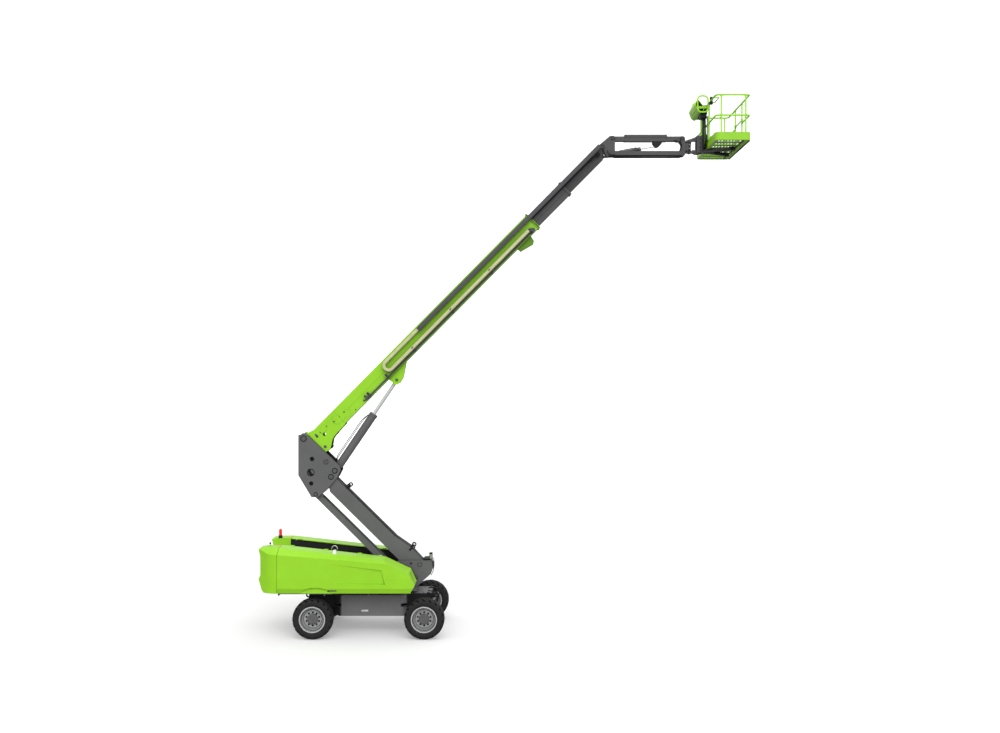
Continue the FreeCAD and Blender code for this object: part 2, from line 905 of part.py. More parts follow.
def boom_base():
    """The outer section, with the plates that carry its pivot, its cylinder and its rest."""
    centre = -boom_axis_drop
    low = centre - base_height / 2
    top = centre + base_height / 2
    tube = section(base_start, base_end, base_half_width, base_height, centre, base_wall)
    mouth = collar(base_end, base_half_width, base_height, centre)
    heel = slab(
        [
            (-70, 75, 70),
            (110, 60, 60),
            (330, top),
            (1020, top),
            (1020, low - 22, 12),
            (600, low - 36, 40),
            (500, low - 60, 60),
            (300, -665, 80),
            (120, -640, 90),
            (-60, -120, 70),
        ],
        -base_half_width - 12,
        -base_half_width + 12,
    )
    mast = [pin(90, 0, 0, -base_half_width, base_half_width)]
    level_pin = pin(40, 236, -533, -base_half_width - 22, base_half_width + 22)
    inner = base_half_width - 12
    back = slab([(40, -60), (60, -60), (190, -560), (170, -560)], -inner, inner)
    bracket = slab(
        [(2597, low + 5), (2612, -700, 60), (2740, -742, 60), (2900, -700, 60), (3249, low + 5)],
        -98,
        -70,
    )
    rest = slab(
        [(7309, low + 5), (7316, -565), (7683, -659, 20), (7750, -630, 20), (7790, low + 5)],
        -80,
        -64,
    )
    eye_x, eye_z = boom_cylinder_eye
    eye_pin = pin(42, eye_x, eye_z, -112, 112)
    bores = [pin(55 + pin_gap, 0, 0, -300, 300), pin(45, 445, centre - 50, -300, 300)]
    pairs = both_sides(heel) + both_sides(bracket) + both_sides(rest)
    whole = fuse([tube, mouth, back, level_pin, eye_pin] + mast + pairs)
    return boom_local(whole.cut(bores))


def boom_mid():
    centre = -boom_axis_drop
    tube = section(mid_start, mid_end, mid_half_width, mid_height, centre, mid_wall)
    mouth = collar(mid_end, mid_half_width, mid_height, centre)
    return boom_local(fuse([tube, mouth]))


def boom_fly():
    """The inner section. A flange closes its end and carries the nose's two ears."""
    centre = -boom_axis_drop
    tube = section(fly_start, fly_end, fly_half_width, fly_height, centre, fly_wall)
    top = centre + fly_height / 2
    low = centre - fly_height / 2
    flange = box(fly_end - 1, fly_end + nose_flange, -nose_half_width, nose_half_width, low, top)
    flange = flange.cut(box(fly_end - 5, fly_end + 50, -70, 70, low + 60, top - 60))
    ear = slab(
        [
            (fly_end + nose_flange - 1, top),
            (fly_end + 90, top, 30),
            (nose_pivot[0] + 20, nose_pivot[1] + 78, 60),
            (nose_pivot[0] + 78, nose_pivot[1] - 20, 60),
            (nose_pivot[0], nose_pivot[1] - 85, 60),
            (fly_end + 90, low + 40, 60),
            (fly_end + 60, low, 20),
            (fly_end + nose_flange - 1, low),
        ],
        -nose_ear_inner - nose_ear_wall,
        -nose_ear_inner,
    )
    ear = ear.cut(pin(40 + pin_gap, *nose_pivot, -300, 300))
    return boom_local(fuse([tube, flange] + both_sides(ear)))


def cable_tray():
    """The open-sided tray that carries the hoses to the tip; it travels with the fly section."""
    low = tray_centre - tray_height / 2
    top = tray_centre + tray_height / 2
    tray_end = fly_end + 60
    outer = box(chain_moving_end, tray_end, chain_near, chain_far, low, top)
    hollow = box(
        chain_moving_end - 5, tray_end + 5, chain_near + tray_wall, chain_far - tray_wall,
        low + tray_wall, top - tray_wall,
    )
    hanger = box(
        fly_end + nose_flange, tray_end, chain_far, -nose_ear_inner - nose_ear_wall, low, top
    )
    return boom_local(fuse([outer.cut(hollow), hanger]))


def chain_run(x0, x1, z):
    """A straight run of the energy chain."""
    return boom_local(
        box(x0, x1, chain_near, chain_far, z - chain_band / 2, z + chain_band / 2)
    )


def chain_bend():
    """The half turn of the energy chain; it travels with the mid section."""
    x, z = chain_bend_centre
    outer = chain_bend_radius + chain_band / 2
    inner = chain_bend_radius - chain_band / 2
    ring = pin(outer, x, z, chain_near, chain_far).cut(pin(inner, x, z, -400, 0))
    return boom_local(ring.cut(box(x, x + 400, -400, 0, z - 300, z + 300)))


def hose_tube():
    """The hose conduit under the energy chain, with its clamps on the base section."""
    z = -430.0
    y = -215.0
    tube = rod(20, (1950, y, z), (7900, y, z)).cut(rod(15, (1940, y, z), (7910, y, z)))
    clamps = []
    for x in (1980, 2640, 3610, 4990, 6400, 7860):
        clamp = box(x - 25, x + 25, y - 28, -base_half_width, z - 30, z + 30)
        clamps.append(clamp.cut(rod(19, (x - 50, y, z), (x + 50, y, z))))
    return boom_local(fuse([tube] + clamps))


# ---------------------------------------------------------------- jib
def jib_link():
    """The link that stays level at the boom's nose and carries both jib arms."""
    inner = jib_link_inner
    outer = jib_link_outer
    ux, uz = jib_root_from_nose
    plate = slab(
        [
            (-72, -40, 50),
            (-66, 62, 50),
            (205, 290, 60),
            (ux + 66, uz + 70, 60),
            (ux + 58, uz - 120, 30),
            (ux + 62, uz - jib_spacing - 66, 60),
            (92, -240, 30),
            (46, -70, 40),
        ],
        -outer,
        -inner,
    )
    hub = pin(62, 0, 0, -inner - 5, inner + 5)
    axle = pin(40, 0, 0, -nose_half_width - 2, nose_half_width + 2)
    web = slab([(52, 70), (150, 152), (142, 162), (44, 80)], -inner, inner)
    arm_pin = pin(32, ux, uz, -outer - 8, outer + 8)
    tie_pins = [
        pin(30, ux, uz - jib_spacing, side * 42, side * (jib_tie_inner + jib_tie_wall + 8))
        for side in (-1, 1)
    ]
    whole = fuse(both_sides(plate) + [hub, axle, web, arm_pin] + tie_pins)
    whole.translate(V(nose[0], 0, nose[1]))
    return whole


def jib_arm():
    """The upper jib arm, sleeved in its middle, with the bracket for the cylinder's rod."""
    half = jib_half_height
    beam = slab(
        [
            (-half, -half, half * 0.98),
            (-half, half, half * 0.98),
            (jib_length + half, half, half * 0.98),
            (jib_length + half, -half, half * 0.98),
        ],
        -jib_half_width,
        jib_half_width,
    )
    sleeve = box(300, 1380, -jib_half_width - 6, jib_half_width + 6, -half - 7, half + 12)
    hollow = box(120, jib_length - 120, -jib_half_width + 8, jib_half_width - 8, -half + 8, half - 8)
    ex, ez = jib_cylinder_eye
    bracket = slab(
        [
            (ex - 110, -half - 2),
            (ex - 48, ez - 30, 30),
            (ex, ez - 45, 40),
            (ex + 48, ez - 30, 30),
            (ex + 90, -half - 2),
        ],
        -62,
        -48,
    )
    eye_pin = pin(20, ex, ez, -68, 68)
    bores = [pin(32 + pin_gap, x, 0, -300, 300) for x in (0, jib_length)]
    whole = fuse([beam, sleeve]).cut(hollow)
    whole = fuse([whole, eye_pin] + both_sides(bracket)).cut(bores)
    return placed(whole, jib_root, 0)


def jib_tie():
    """The lower jib arm: two bars, with a cross tube beyond the reach of the cylinder between them."""
    half = jib_half_height
    outer = jib_tie_inner + jib_tie_wall
    bar = slab(
        [
            (-half, -half, half * 0.98),
            (-half, half, half * 0.98),
            (jib_length + half, half, half * 0.98),
            (jib_length + half, -half, half * 0.98),
        ],
        -outer,
        -jib_tie_inner,
    )
    bar = bar.cut([pin(30 + pin_gap, x, 0, -300, 300) for x in (0, jib_length)])
    tube = pin(25, jib_length - 150, 0, -jib_tie_inner - 2, jib_tie_inner + 2)
    return placed(fuse(both_sides(bar) + [tube]), jib_low_root, 0)


def jib_head():
    """The end link of the jib, with the rotator's housing."""
    inner = jib_link_inner
    outer = jib_link_outer
    plate = slab(
        [
            (-64, 40, 40),
            (-20, 66, 40),
            (64, 40, 30),
            (78, -70, 8),
            (78, -345, 8),
            (60, -450, 50),
            (-64, -450, 50),
            (-64, -330, 30),
            (0, -190),
        ],
        -outer,
        -inner,
    )
    pins = [pin(32, 0, 0, -outer - 8, outer + 8)]
    tie_pin_reach = jib_tie_inner + jib_tie_wall + 8
    pins.append(pin(30, 0, -jib_spacing, -tie_pin_reach, tie_pin_reach))
    cx, cz = rotator_from_jib
    low = cz - rotator_height / 2
    housing = Part.makeCylinder(rotator_radius, rotator_height, V(cx, 0, low))
    block = box(75, cx, -inner, inner, low + 20, low + rotator_height - 20)
    whole = fuse(both_sides(plate) + pins + [housing, block])
    shaft = Part.makeCylinder(30 + pin_gap, 400, V(cx, 0, low - 50))
    whole = whole.cut(shaft)
    whole.translate(V(jib_tip[0], 0, jib_tip[1]))
    return whole


# ---------------------------------------------------------------- platform
def platform_bracket():
    """A C-shaped clamp that grips the rotator above and below, with two arms under the floor."""
    x = rotator_x
    low = rotator_z - rotator_height / 2
    high = rotator_z + rotator_height / 2
    back = bracket_reach
    clamp = slab(
        [
            (x - 62, high + side_gap),
            (x - 62, high + 55, 15),
            (x + 55, high + 88),
            (x + back - 130, high + bracket_rise, 20),
            (x + back, high + bracket_rise, 12),
            (x + back, low - 35, 12),
            (x - 62, low - 35, 15),
            (x - 62, low - side_gap),
            (x + rotator_radius + 7, low - side_gap),
            (x + rotator_radius + 20, low + 34),
            (x + back - 180, low + 34, 12),
            (x + back - 180, high + 41, 12),
            (x + rotator_radius + 20, high + 41),
            (x + rotator_radius + 7, high + side_gap),
        ],
        -70,
        70,
    )
    shaft = Part.makeCylinder(30, high - low + 40, V(x, 0, low - 20))
    post = box(x + back - 180, x + back, -120, 120, floor_bottom - 82, high + bracket_rise)
    arms = []
    for side in (-1, 1):
        foot = V(x + back - 8, side * 60, floor_bottom - 70)
        tip = V(platform_far_x - 250, side * 380, floor_bottom - 70)
        across = (tip - foot).cross(V(0, 0, 1)).normalize() * 40
        ring = [foot - across, foot + across, tip + across, tip - across]
        face = Part.Face(Part.makePolygon(ring + ring[:1]))
        arms.append(face.extrude(V(0, 0, 70)))
        arms.append(box(tip.x - 45, tip.x + 45, tip.y - 60, tip.y + 60, tip.z - 10, floor_bottom))
    return fuse([clamp, shaft, post] + arms)


def rounded_box(x0, x1, y0, y1, z0, z1, radius):
    """A block with its four standing edges rounded."""
    block = box(x0, x1, y0, y1, z0, z1)
    standing = [
        e for e in block.Edges if abs(e.Vertexes[0].X - e.Vertexes[1].X) < 1
        and abs(e.Vertexes[0].Y - e.Vertexes[1].Y) < 1
    ]
    return block.makeFillet(radius, standing)


def platform_floor():
    """A toe board all round a frame, and on it a deck of pierced planks."""
    half = platform_half_length
    w = toe_board_wall
    frame = rounded_box(
        platform_near_x, platform_far_x, -half, half,
        floor_bottom, floor_bottom + toe_board_height, rail_corner,
    )
    room = rounded_box(
        platform_near_x + w, platform_far_x - w, -half + w, half - w,
        floor_bottom + floor_thickness, floor_bottom + toe_board_height + 5, rail_corner - w,
    )
    x0 = platform_near_x + plank_margin
    x1 = platform_far_x - plank_margin
    y0 = -half + plank_margin
    hole = box(x0 + 30, x1 - 30, y0 + 30, -y0 - 30, floor_bottom - 5, floor_bottom + floor_thickness + 5)
    deck = box(x0, x1, y0, -y0, floor_bottom + 8, floor_bottom + floor_thickness + plank_rise)
    pitch_y = -2 * y0 / plank_count
    pitch_x = (x1 - x0 - 80) / plank_slots
    slots = []
    for row in range(plank_count):
        middle = y0 + pitch_y * (row + 0.5)
        for column in range(plank_slots):
            start = x0 + 40 + pitch_x * column
            slots.append(
                box(start + 8, start + pitch_x - 8, middle - pitch_y * 0.25, middle + pitch_y * 0.25,
                    floor_bottom - 5, floor_bottom + 60)
            )
    tray = frame.cut([room, hole])
    return fuse([tray, deck.cut(slots)])


def tube_cut(radius, centre, heading):
    """The cut across a level tube, drawn with few sides to keep the rails' faces few."""
    corners = []
    for i in range(tube_sides):
        turn = 2 * math.pi * (i + 0.5) / tube_sides
        corners.append(V(0, radius * math.cos(turn), radius * math.sin(turn)))
    face = Part.Face(Part.makePolygon(corners + corners[:1]))
    face.rotate(V(0, 0, 0), V(0, 0, 1), heading)
    face.translate(centre)
    return face


def hoop(x0, x1, y0, y1, z, radius, bend):
    """A closed level tube with rounded corners."""
    runs = (
        (x0 + bend, y0, 0, x1 - x0),
        (x1, y0 + bend, 90, y1 - y0),
        (x1 - bend, y1, 180, x1 - x0),
        (x0, y1 - bend, 270, y1 - y0),
    )
    pieces = []
    for x, y, heading, side in runs:
        forward = V(*turned(1, 0, heading), 0)
        start = V(x, y, z)
        end = start + forward * (side - 2 * bend)
        centre = end + V(-forward.y, forward.x, 0) * bend
        pieces.append(tube_cut(radius, start, heading).extrude(end - start))
        pieces.append(tube_cut(radius, end, heading).revolve(centre, V(0, 0, 1), 90))
    return pieces


def rail_lines():
    """The rails' centre lines, inset from the edge so that the posts stand inside the toe board."""
    inset = toe_board_wall + post_radius + 1
    return (
        platform_near_x + inset,
        platform_far_x - inset,
        -platform_half_length + inset,
        platform_half_length - inset,
    )


def platform_rails():
    """Top and mid rails on upright posts; the mid rail is open at the gate."""
    x0, x1, y0, y1 = rail_lines()
    base = floor_bottom + floor_thickness
    top = floor_bottom + rail_height
    middle = floor_bottom + mid_rail_height
    pieces = hoop(x0, x1, y0, y1, top, rail_radius, rail_corner)
    pieces += hoop(x0, x1, y0, y1, middle, rail_radius, rail_corner)
    posts = []
    for y in (y0, y1):
        for x in (x0 + 130, x1 - 102):
            posts.append((x, y))
    for x in (x0, x1):
        for y in (-gate_half_width, gate_half_width):
            posts.append((x, y))
    for x, y in posts:
        pieces.append(rod(post_radius, (x, y, base), (x, y, top)))
    whole = fuse(pieces)
    gap = box(
        x1 - 60, x1 + 60, -gate_half_width + rail_radius, gate_half_width - rail_radius,
        middle - 60, middle + 60,
    )
    return whole.cut(gap)


def entry_bar():
    """The sliding bar across the gate, on a collar round each gate post."""
    x1 = rail_lines()[1]
    middle = floor_bottom + mid_rail_height + 65
    reach = gate_half_width - post_radius - 6
    pieces = [rod(16, (x1, -reach, middle), (x1, reach, middle))]
    bores = []
    for y in (-gate_half_width, gate_half_width):
        pieces.append(Part.makeCylinder(28, 80, V(x1, y, middle - 40)))
        bores.append(Part.makeCylinder(post_radius + pin_gap, 100, V(x1, y, middle - 50)))
    return fuse(pieces).cut(bores)


def control_console():
    """The platform control box outside the end rail, under its curved cover."""
    x = platform_near_x
    top = floor_bottom + rail_height
    body = slab(
        [
            (x - 20, top - 60, 20),
            (x - 20, top - 380),
            (x - 190, top - 420, 60),
            (x - 250, top - 250, 80),
            (x - 225, top - 60, 40),
        ],
        -350,
        350,
    )
    posts = []
    for y in (-200, 200):
        posts.append(box(x - 60, x - 20, y - 20, y + 20, floor_bottom - 30, top - 300))
        posts.append(box(x - 30, x, y - 20, y + 20, floor_bottom + 30, floor_bottom + 80))
    return fuse([body] + posts)


def console_guard(y):
    """One of the two rounded hoops that stand over the controls, at either end of the console."""
    x = platform_near_x
    top = floor_bottom + rail_height
    hoop_wall = 24

    def ring(inset):
        return [
            (x - 304 + inset, top - 252 + inset, 95 - inset),
            (x - 304 + inset, top + 202 - inset, 95 - inset),
            (x - inset, top + 202 - inset, 95 - inset),
            (x - inset, top - 252 + inset, 95 - inset),
        ]

    outer = slab(ring(0), y - hoop_wall / 2, y + hoop_wall / 2)
    return outer.cut(slab(ring(hoop_wall), y - hoop_wall, y + hoop_wall))


# ---------------------------------------------------------------- write every piece
def main():
    os.makedirs("parts", exist_ok=True)
    save("chassis_frame", chassis_frame(), 0)
    save("drive_axle", drive_axle(), 0)
    save("steer_axle", steer_axle(), 0)
    save("track_rod", track_rod(), 0)
    save("slewing_ring", slewing_ring(), 0)
    for name, side in (("near", -1), ("far", 1)):
        save("steering_knuckle_" + name, steering_knuckle(side), 0)
        for end, x in (("drive", wheelbase / 2), ("steer", -wheelbase / 2)):
            save("rim_" + end + "_" + name, rim(x, side), 0)
            save("tyre_" + end + "_" + name, tyre(x, side), 0)
    save("turntable_frame", turntable_frame())
    save("counterweight", counterweight())
    save("boom_foot", boom_foot())
    save("engine_block", engine())
    save("tank_block", tanks())
    save("beacon", beacon())
    near_cover = cover()
    save("cover_near", near_cover)
    save("cover_far", mirrored(near_cover))
    save("channel_panel_near", channel_panel(-1))
    save("channel_panel_far", channel_panel(1))

    save("riser_arm", riser_arm())
    save("riser_tie", riser_tie())
    save("upright", upright())
    riser_eye = along(riser_foot, riser_angle, (riser_cylinder_eye[0], -riser_cylinder_eye[1]))
    save("riser_cylinder_barrel", barrel(riser_cylinder_foot, riser_eye, 80, 62, 1330, 75, 46, 42))
    save("riser_cylinder_rod", piston_rod(riser_cylinder_foot, riser_eye, 45, 460, 60, 46, 0))

    save("boom_base", boom_base())
    save("boom_mid", boom_mid())
    save("boom_fly", boom_fly())
    boom_foot_pin = (
        riser_head[0] + boom_cylinder_foot[0],
        riser_head[1] + boom_cylinder_foot[1],
    )
    boom_eye = along(boom_pivot, boom_angle, boom_cylinder_eye)
    save("boom_cylinder_barrel", barrel(boom_foot_pin, boom_eye, 105, 85, 1730, 75, 65, 0))
    save("boom_cylinder_rod", piston_rod(boom_foot_pin, boom_eye, 47, 1150, 68, 52, 42))
    bend_x, bend_z = chain_bend_centre
    save("chain_upper", chain_run(bend_x, chain_moving_end, bend_z + chain_bend_radius))
    save("chain_lower", chain_run(bend_x, chain_fixed_end, bend_z - chain_bend_radius))
    save("chain_bend", chain_bend())
    save("cable_tray", cable_tray())
    save("hose_tube", hose_tube())

    save("jib_link", jib_link())
    save("jib_arm", jib_arm())
    save("jib_tie", jib_tie())
    save("jib_head", jib_head())
    jib_eye = (jib_root[0] + jib_cylinder_eye[0], jib_root[1] + jib_cylinder_eye[1])
    save("jib_cylinder_barrel", barrel(jib_low_root, jib_eye, 42, 30, 730, 36, 28, 0))
    save("jib_cylinder_rod", piston_rod(jib_low_root, jib_eye, 19, 520, 32, 28, 20))

    save("platform_bracket", platform_bracket())
    save("platform_floor", platform_floor())
    save("platform_rails", platform_rails())
    save("entry_bar", entry_bar())
    save("control_console", control_console())
    save("console_guard", Part.makeCompound([console_guard(y) for y in (-370, 370)]))


main()
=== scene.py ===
import json
import math

import bpy
import numpy as np
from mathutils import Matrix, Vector


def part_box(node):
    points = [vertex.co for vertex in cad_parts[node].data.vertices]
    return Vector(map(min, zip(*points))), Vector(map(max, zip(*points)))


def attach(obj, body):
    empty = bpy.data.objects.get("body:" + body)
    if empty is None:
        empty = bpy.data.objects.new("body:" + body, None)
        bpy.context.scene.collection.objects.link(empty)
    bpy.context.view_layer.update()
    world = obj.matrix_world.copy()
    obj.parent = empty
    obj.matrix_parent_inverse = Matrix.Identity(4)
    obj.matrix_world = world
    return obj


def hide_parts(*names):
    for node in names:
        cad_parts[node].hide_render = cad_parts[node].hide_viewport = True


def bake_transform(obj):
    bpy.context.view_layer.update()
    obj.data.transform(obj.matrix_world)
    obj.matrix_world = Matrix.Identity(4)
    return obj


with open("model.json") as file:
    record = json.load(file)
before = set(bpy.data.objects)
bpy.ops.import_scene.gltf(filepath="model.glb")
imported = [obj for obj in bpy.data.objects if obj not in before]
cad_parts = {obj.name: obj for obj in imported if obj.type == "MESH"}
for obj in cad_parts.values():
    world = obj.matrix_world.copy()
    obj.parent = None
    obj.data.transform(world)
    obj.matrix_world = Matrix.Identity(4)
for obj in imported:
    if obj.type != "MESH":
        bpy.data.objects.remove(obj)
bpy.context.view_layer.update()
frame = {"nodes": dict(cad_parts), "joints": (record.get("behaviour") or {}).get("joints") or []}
print("packed model loaded")

joints = {j["name"]: j for j in frame["joints"]}
nodes = frame["nodes"]
upward = np.array([0.0, 0.0, 1.0])


# places on the machine, all read from its joints


def jointPlace(name):
    return np.array(joints[name]["pos_m"], float)


slewPlace = jointPlace("turntable_swing")
riserFoot = jointPlace("riser_lift")
riserHead = jointPlace("upright_level")
boomPivot = jointPlace("boom_lift")
boomDirection = np.array(joints["mid_extend"]["axis"], float)
boomNormal = np.array([-boomDirection[2], 0.0, boomDirection[0]])
noseHinge = jointPlace("jib_link_level")
jibRoot = jointPlace("jib_lift")
jibTip = jointPlace("jib_head_level")
riserDirection = (riserHead - riserFoot) / np.linalg.norm(riserHead - riserFoot)
riserNormal = np.array([riserDirection[2], 0.0, -riserDirection[0]])
groundCentre = np.array([slewPlace[0], 0.0, 0.0])


def fromSlew(x, y, z):  # a place given from the slewing axis at ground level
    return groundCentre + np.array([x, y, z], float)


def onBoom(along, below, y):  # a place given along the boom and below the line of its pivot
    return boomPivot + along * boomDirection - below * boomNormal + np.array([0.0, y, 0.0])


def onRiser(along, above, y):  # a place given along the riser and above the line of its pins
    return riserFoot + along * riserDirection + above * riserNormal + np.array([0.0, y, 0.0])


# shapes: a shape is (points, [face arrays]); every one is worked out as whole arrays


def gridFaces(rows, cols, wrapRows=False, wrapCols=False):
    # quads between neighbouring rows and columns of a grid, joined round where it wraps
    r = np.arange(rows if wrapRows else rows - 1)[:, None]
    c = np.arange(cols if wrapCols else cols - 1)[None, :]
    r2, c2 = (r + 1) % rows, (c + 1) % cols
    quads = np.stack([r * cols + c, r * cols + c2, r2 * cols + c2, r2 * cols + c], -1)
    return quads.reshape(-1, 4)


def enclosed(verts, groups):
    # six times the volume inside: every face cut into a fan of triangles from its first corner
    verts = verts - verts.mean(axis=0)
    total = 0.0
    for g in groups:
        for k in range(1, g.shape[1] - 1):
            total += np.sum(verts[g[:, 0]] * np.cross(verts[g[:, k]], verts[g[:, k + 1]]))
    return total


def gridShape(points, wrapRows=False, wrapCols=False, capEnds=False):
    # points is rows x cols x 3; the first and last rows can be closed with one face each
    rows, cols = points.shape[:2]
    verts = points.reshape(-1, 3)
    faces = [gridFaces(rows, cols, wrapRows, wrapCols)]
    if capEnds:
        faces.append(np.arange(cols)[::-1][None, :])
        faces.append((np.arange(cols) + (rows - 1) * cols)[None, :])
    closed = capEnds or (wrapRows and wrapCols)
    if closed and enclosed(verts, faces) < 0:
        faces = [g[:, ::-1] for g in faces]
    return verts, faces


def joined(shapes):
    # several shapes as one: each one's faces are numbered on from the points before it
    points, faces, start = [], [], 0
    for verts, groups in shapes:
        points.append(verts)
        faces += [g + start for g in groups]
        start += len(verts)
    return np.concatenate(points), faces


def copied(shape, offsets):
    # the same shape at every offset, by adding each offset to all its points
    verts, groups = shape
    offsets = np.asarray(offsets, float).reshape(-1, 3)
    many = (verts[None] + offsets[:, None]).reshape(-1, 3)
    steps = np.arange(len(offsets))[:, None, None] * len(verts)
    return many, [(g[None] + steps).reshape(-1, g.shape[1]) for g in groups]


def turnedAbout(points, centre, axis, angle):
    # points turned about an axis: along it unchanged, across it by cosine and sine of the angle
    axis = np.asarray(axis, float) / np.linalg.norm(axis)
    d = points - centre
    c, s = math.cos(angle), math.sin(angle)
    return centre + d * c + np.cross(axis, d) * s + np.outer(d @ axis, axis).reshape(d.shape) * (1 - c)


def ringed(shape, centre, axis, count, start=0.0):
    # the same shape repeated evenly round an axis
    verts, groups = shape
    turns = [turnedAbout(verts, centre, axis, start + k * 2 * math.pi / count) for k in range(count)]
    steps = np.arange(count)[:, None, None] * len(verts)
    return np.concatenate(turns), [(g[None] + steps).reshape(-1, g.shape[1]) for g in groups]


def farCopy(shape):  # the mirror image on the far side, faces turned back outwards
    verts, groups = shape
    return verts * np.array([1.0, -1.0, 1.0]), [g[:, ::-1] for g in groups]


def acrossFrame(axis):
    # two directions square to an axis and to each other, right-handed with it
    axis = np.asarray(axis, float) / np.linalg.norm(axis)
    helper = upward if abs(axis[2]) < 0.9 else np.array([1.0, 0.0, 0.0])
    u = np.cross(helper, axis)
    u /= np.linalg.norm(u)
    return axis, u, np.cross(axis, u)


def lathe(profile, centre, axis, steps=32, phase=0.0):
    # (distance from the axis, height along it) carried round the axis: centre + h*axis + r*(cos, sin)
    axis, u, v = acrossFrame(axis)
    profile = np.asarray(profile, float)
    angle = phase + np.linspace(0, 2 * math.pi, steps, endpoint=False)
    spoke = np.cos(angle)[:, None] * u + np.sin(angle)[:, None] * v
    points = profile[:, None, 1:2] * axis + profile[:, None, 0:1] * spoke[None]
    return gridShape(centre + points, wrapCols=True, capEnds=True)


def openRing(inner, outer, depth, centre, axis, steps=32):
    # a ring with a rectangular section, its profile closed on itself
    axis, u, v = acrossFrame(axis)
    profile = np.array([(inner, 0), (outer, 0), (outer, depth), (inner, depth)])
    angle = np.linspace(0, 2 * math.pi, steps, endpoint=False)
    spoke = np.cos(angle)[:, None] * u + np.sin(angle)[:, None] * v
    points = centre + profile[:, None, 1:2] * axis + profile[:, None, 0:1] * spoke[None]
    return gridShape(points, wrapRows=True, wrapCols=True)


def smoothPath(corners, steps=8):
    # a curve through the corners: each span blends its two ends with cubic weights of the neighbours' slopes
    p = np.asarray(corners, float)
    p = np.concatenate([[2 * p[0] - p[1]], p, [2 * p[-1] - p[-2]]])
    t = np.linspace(0, 1, steps, endpoint=False)[None, :, None]
    a, b, c, d = p[:-3, None], p[1:-2, None], p[2:-1, None], p[3:, None]
    curve = 0.5 * (2 * b + (c - a) * t + (2 * a - 5 * b + 4 * c - d) * t**2 + (3 * b - a - 3 * c + d) * t**3)
    return np.concatenate([curve.reshape(-1, 3), p[-2:-1]])


def roundedPath(corners, radius, steps=5, closed=False):
    # straight runs with each corner replaced by a quadratic arc from radius before it to radius after it
    p = np.asarray(corners, float)
    before = np.roll(p, 1, 0) - p
    after = np.roll(p, -1, 0) - p
    lb = np.linalg.norm(before, axis=1, keepdims=True)
    la = np.linalg.norm(after, axis=1, keepdims=True)
    start = p + before / lb * np.minimum(radius, lb * 0.5)
    end = p + after / la * np.minimum(radius, la * 0.5)
    t = np.linspace(0, 1, steps)[None, :, None]
    arcs = start[:, None] * (1 - t) ** 2 + 2 * p[:, None] * t * (1 - t) + end[:, None] * t**2
    if closed:
        return arcs.reshape(-1, 3)
    middle = arcs[1:-1].reshape(-1, 3)
    return np.concatenate([p[:1], middle, p[-1:]])


def sweep(path, profile, sideways, closed=False, scale=None):
    # a flat profile carried along a path: point + a*side + b*(tangent x side), ends closed unless the path is
    path = np.asarray(path, float)
    profile = np.asarray(profile, float)
    if closed:
        tangent = np.roll(path, -1, 0) - np.roll(path, 1, 0)
    else:
        tangent = np.gradient(path, axis=0)
    tangent /= np.linalg.norm(tangent, axis=1, keepdims=True)
    side = np.broadcast_to(np.asarray(sideways, float), path.shape)
    side = side - np.sum(side * tangent, 1, keepdims=True) * tangent
    side /= np.linalg.norm(side, axis=1, keepdims=True)
    over = np.cross(tangent, side)
    size = np.ones(len(path)) if scale is None else np.asarray(scale, float)
    points = path[:, None] + size[:, None, None] * (
        profile[None, :, :1] * side[:, None] + profile[None, :, 1:] * over[:, None]
    )
    return gridShape(points, wrapRows=closed, wrapCols=True, capEnds=not closed)


def circleProfile(radius, steps=12):
    angle = np.linspace(0, 2 * math.pi, steps, endpoint=False)
    return np.stack([np.cos(angle), np.sin(angle)], -1) * radius


def tube(corners, radius, sideways=(0.0, 1.0, 0.0), bend=None, steps=12, closed=False):
    # a round bar or hose along corners, rounded by arcs where bend is given and by a smooth curve elsewhere
    if bend is None:
        path = smoothPath(corners)
    else:
        path = roundedPath(corners, bend, closed=closed)
    return sweep(path, circleProfile(radius, steps), sideways, closed)


def roundRect(width, height, radius, steps=4):
    # a rectangle with quarter-circle corners
    corner = np.linspace(0, math.pi / 2, steps)
    quarter = np.arange(4)[:, None] * math.pi / 2 + corner[None]
    sign = np.array([[1, 1], [-1, 1], [-1, -1], [1, -1]])[:, None]
    middle = sign * np.array([width / 2 - radius, height / 2 - radius])
    return (middle + radius * np.stack([np.cos(quarter), np.sin(quarter)], -1)).reshape(-1, 2)


def block(low, high, edge=0.004, axis=0):
    # a box with rounded edges: a rounded rectangle carried along one axis, drawn in at both ends
    low, high = np.asarray(low, float), np.asarray(high, float)
    size = high - low
    edge = min(edge, 0.45 * size.min())
    b, c = [(1, 2), (2, 0), (0, 1)][axis]
    along = np.array([0.0, edge * 0.3, edge, size[axis] - edge, size[axis] - edge * 0.3, size[axis]])
    inset = np.array([edge, edge * 0.3, 0.0, 0.0, edge * 0.3, edge])
    rings = []
    for place, cutback in zip(along, inset):
        ring = roundRect(size[b] - 2 * cutback, size[c] - 2 * cutback, max(edge - cutback, edge * 0.2), 3)
        points = np.zeros((len(ring), 3))
        points[:, axis] = low[axis] + place
        points[:, b] = (low[b] + high[b]) / 2 + ring[:, 0]
        points[:, c] = (low[c] + high[c]) / 2 + ring[:, 1]
        rings.append(points)
    return gridShape(np.array(rings), wrapCols=True, capEnds=True)


def plateShape(outline, thickness, origin, u, v):
    # a flat outline in the u, v plane, carried through its thickness along u x v
    outline = np.asarray(outline, float)
    u, v = np.asarray(u, float), np.asarray(v, float)
    flat = outline[:, :1] * u + outline[:, 1:] * v
    normal = np.cross(u, v)
    points = np.array([origin + flat - normal * thickness / 2, origin + flat + normal * thickness / 2])
    return gridShape(points, wrapCols=True, capEnds=True)


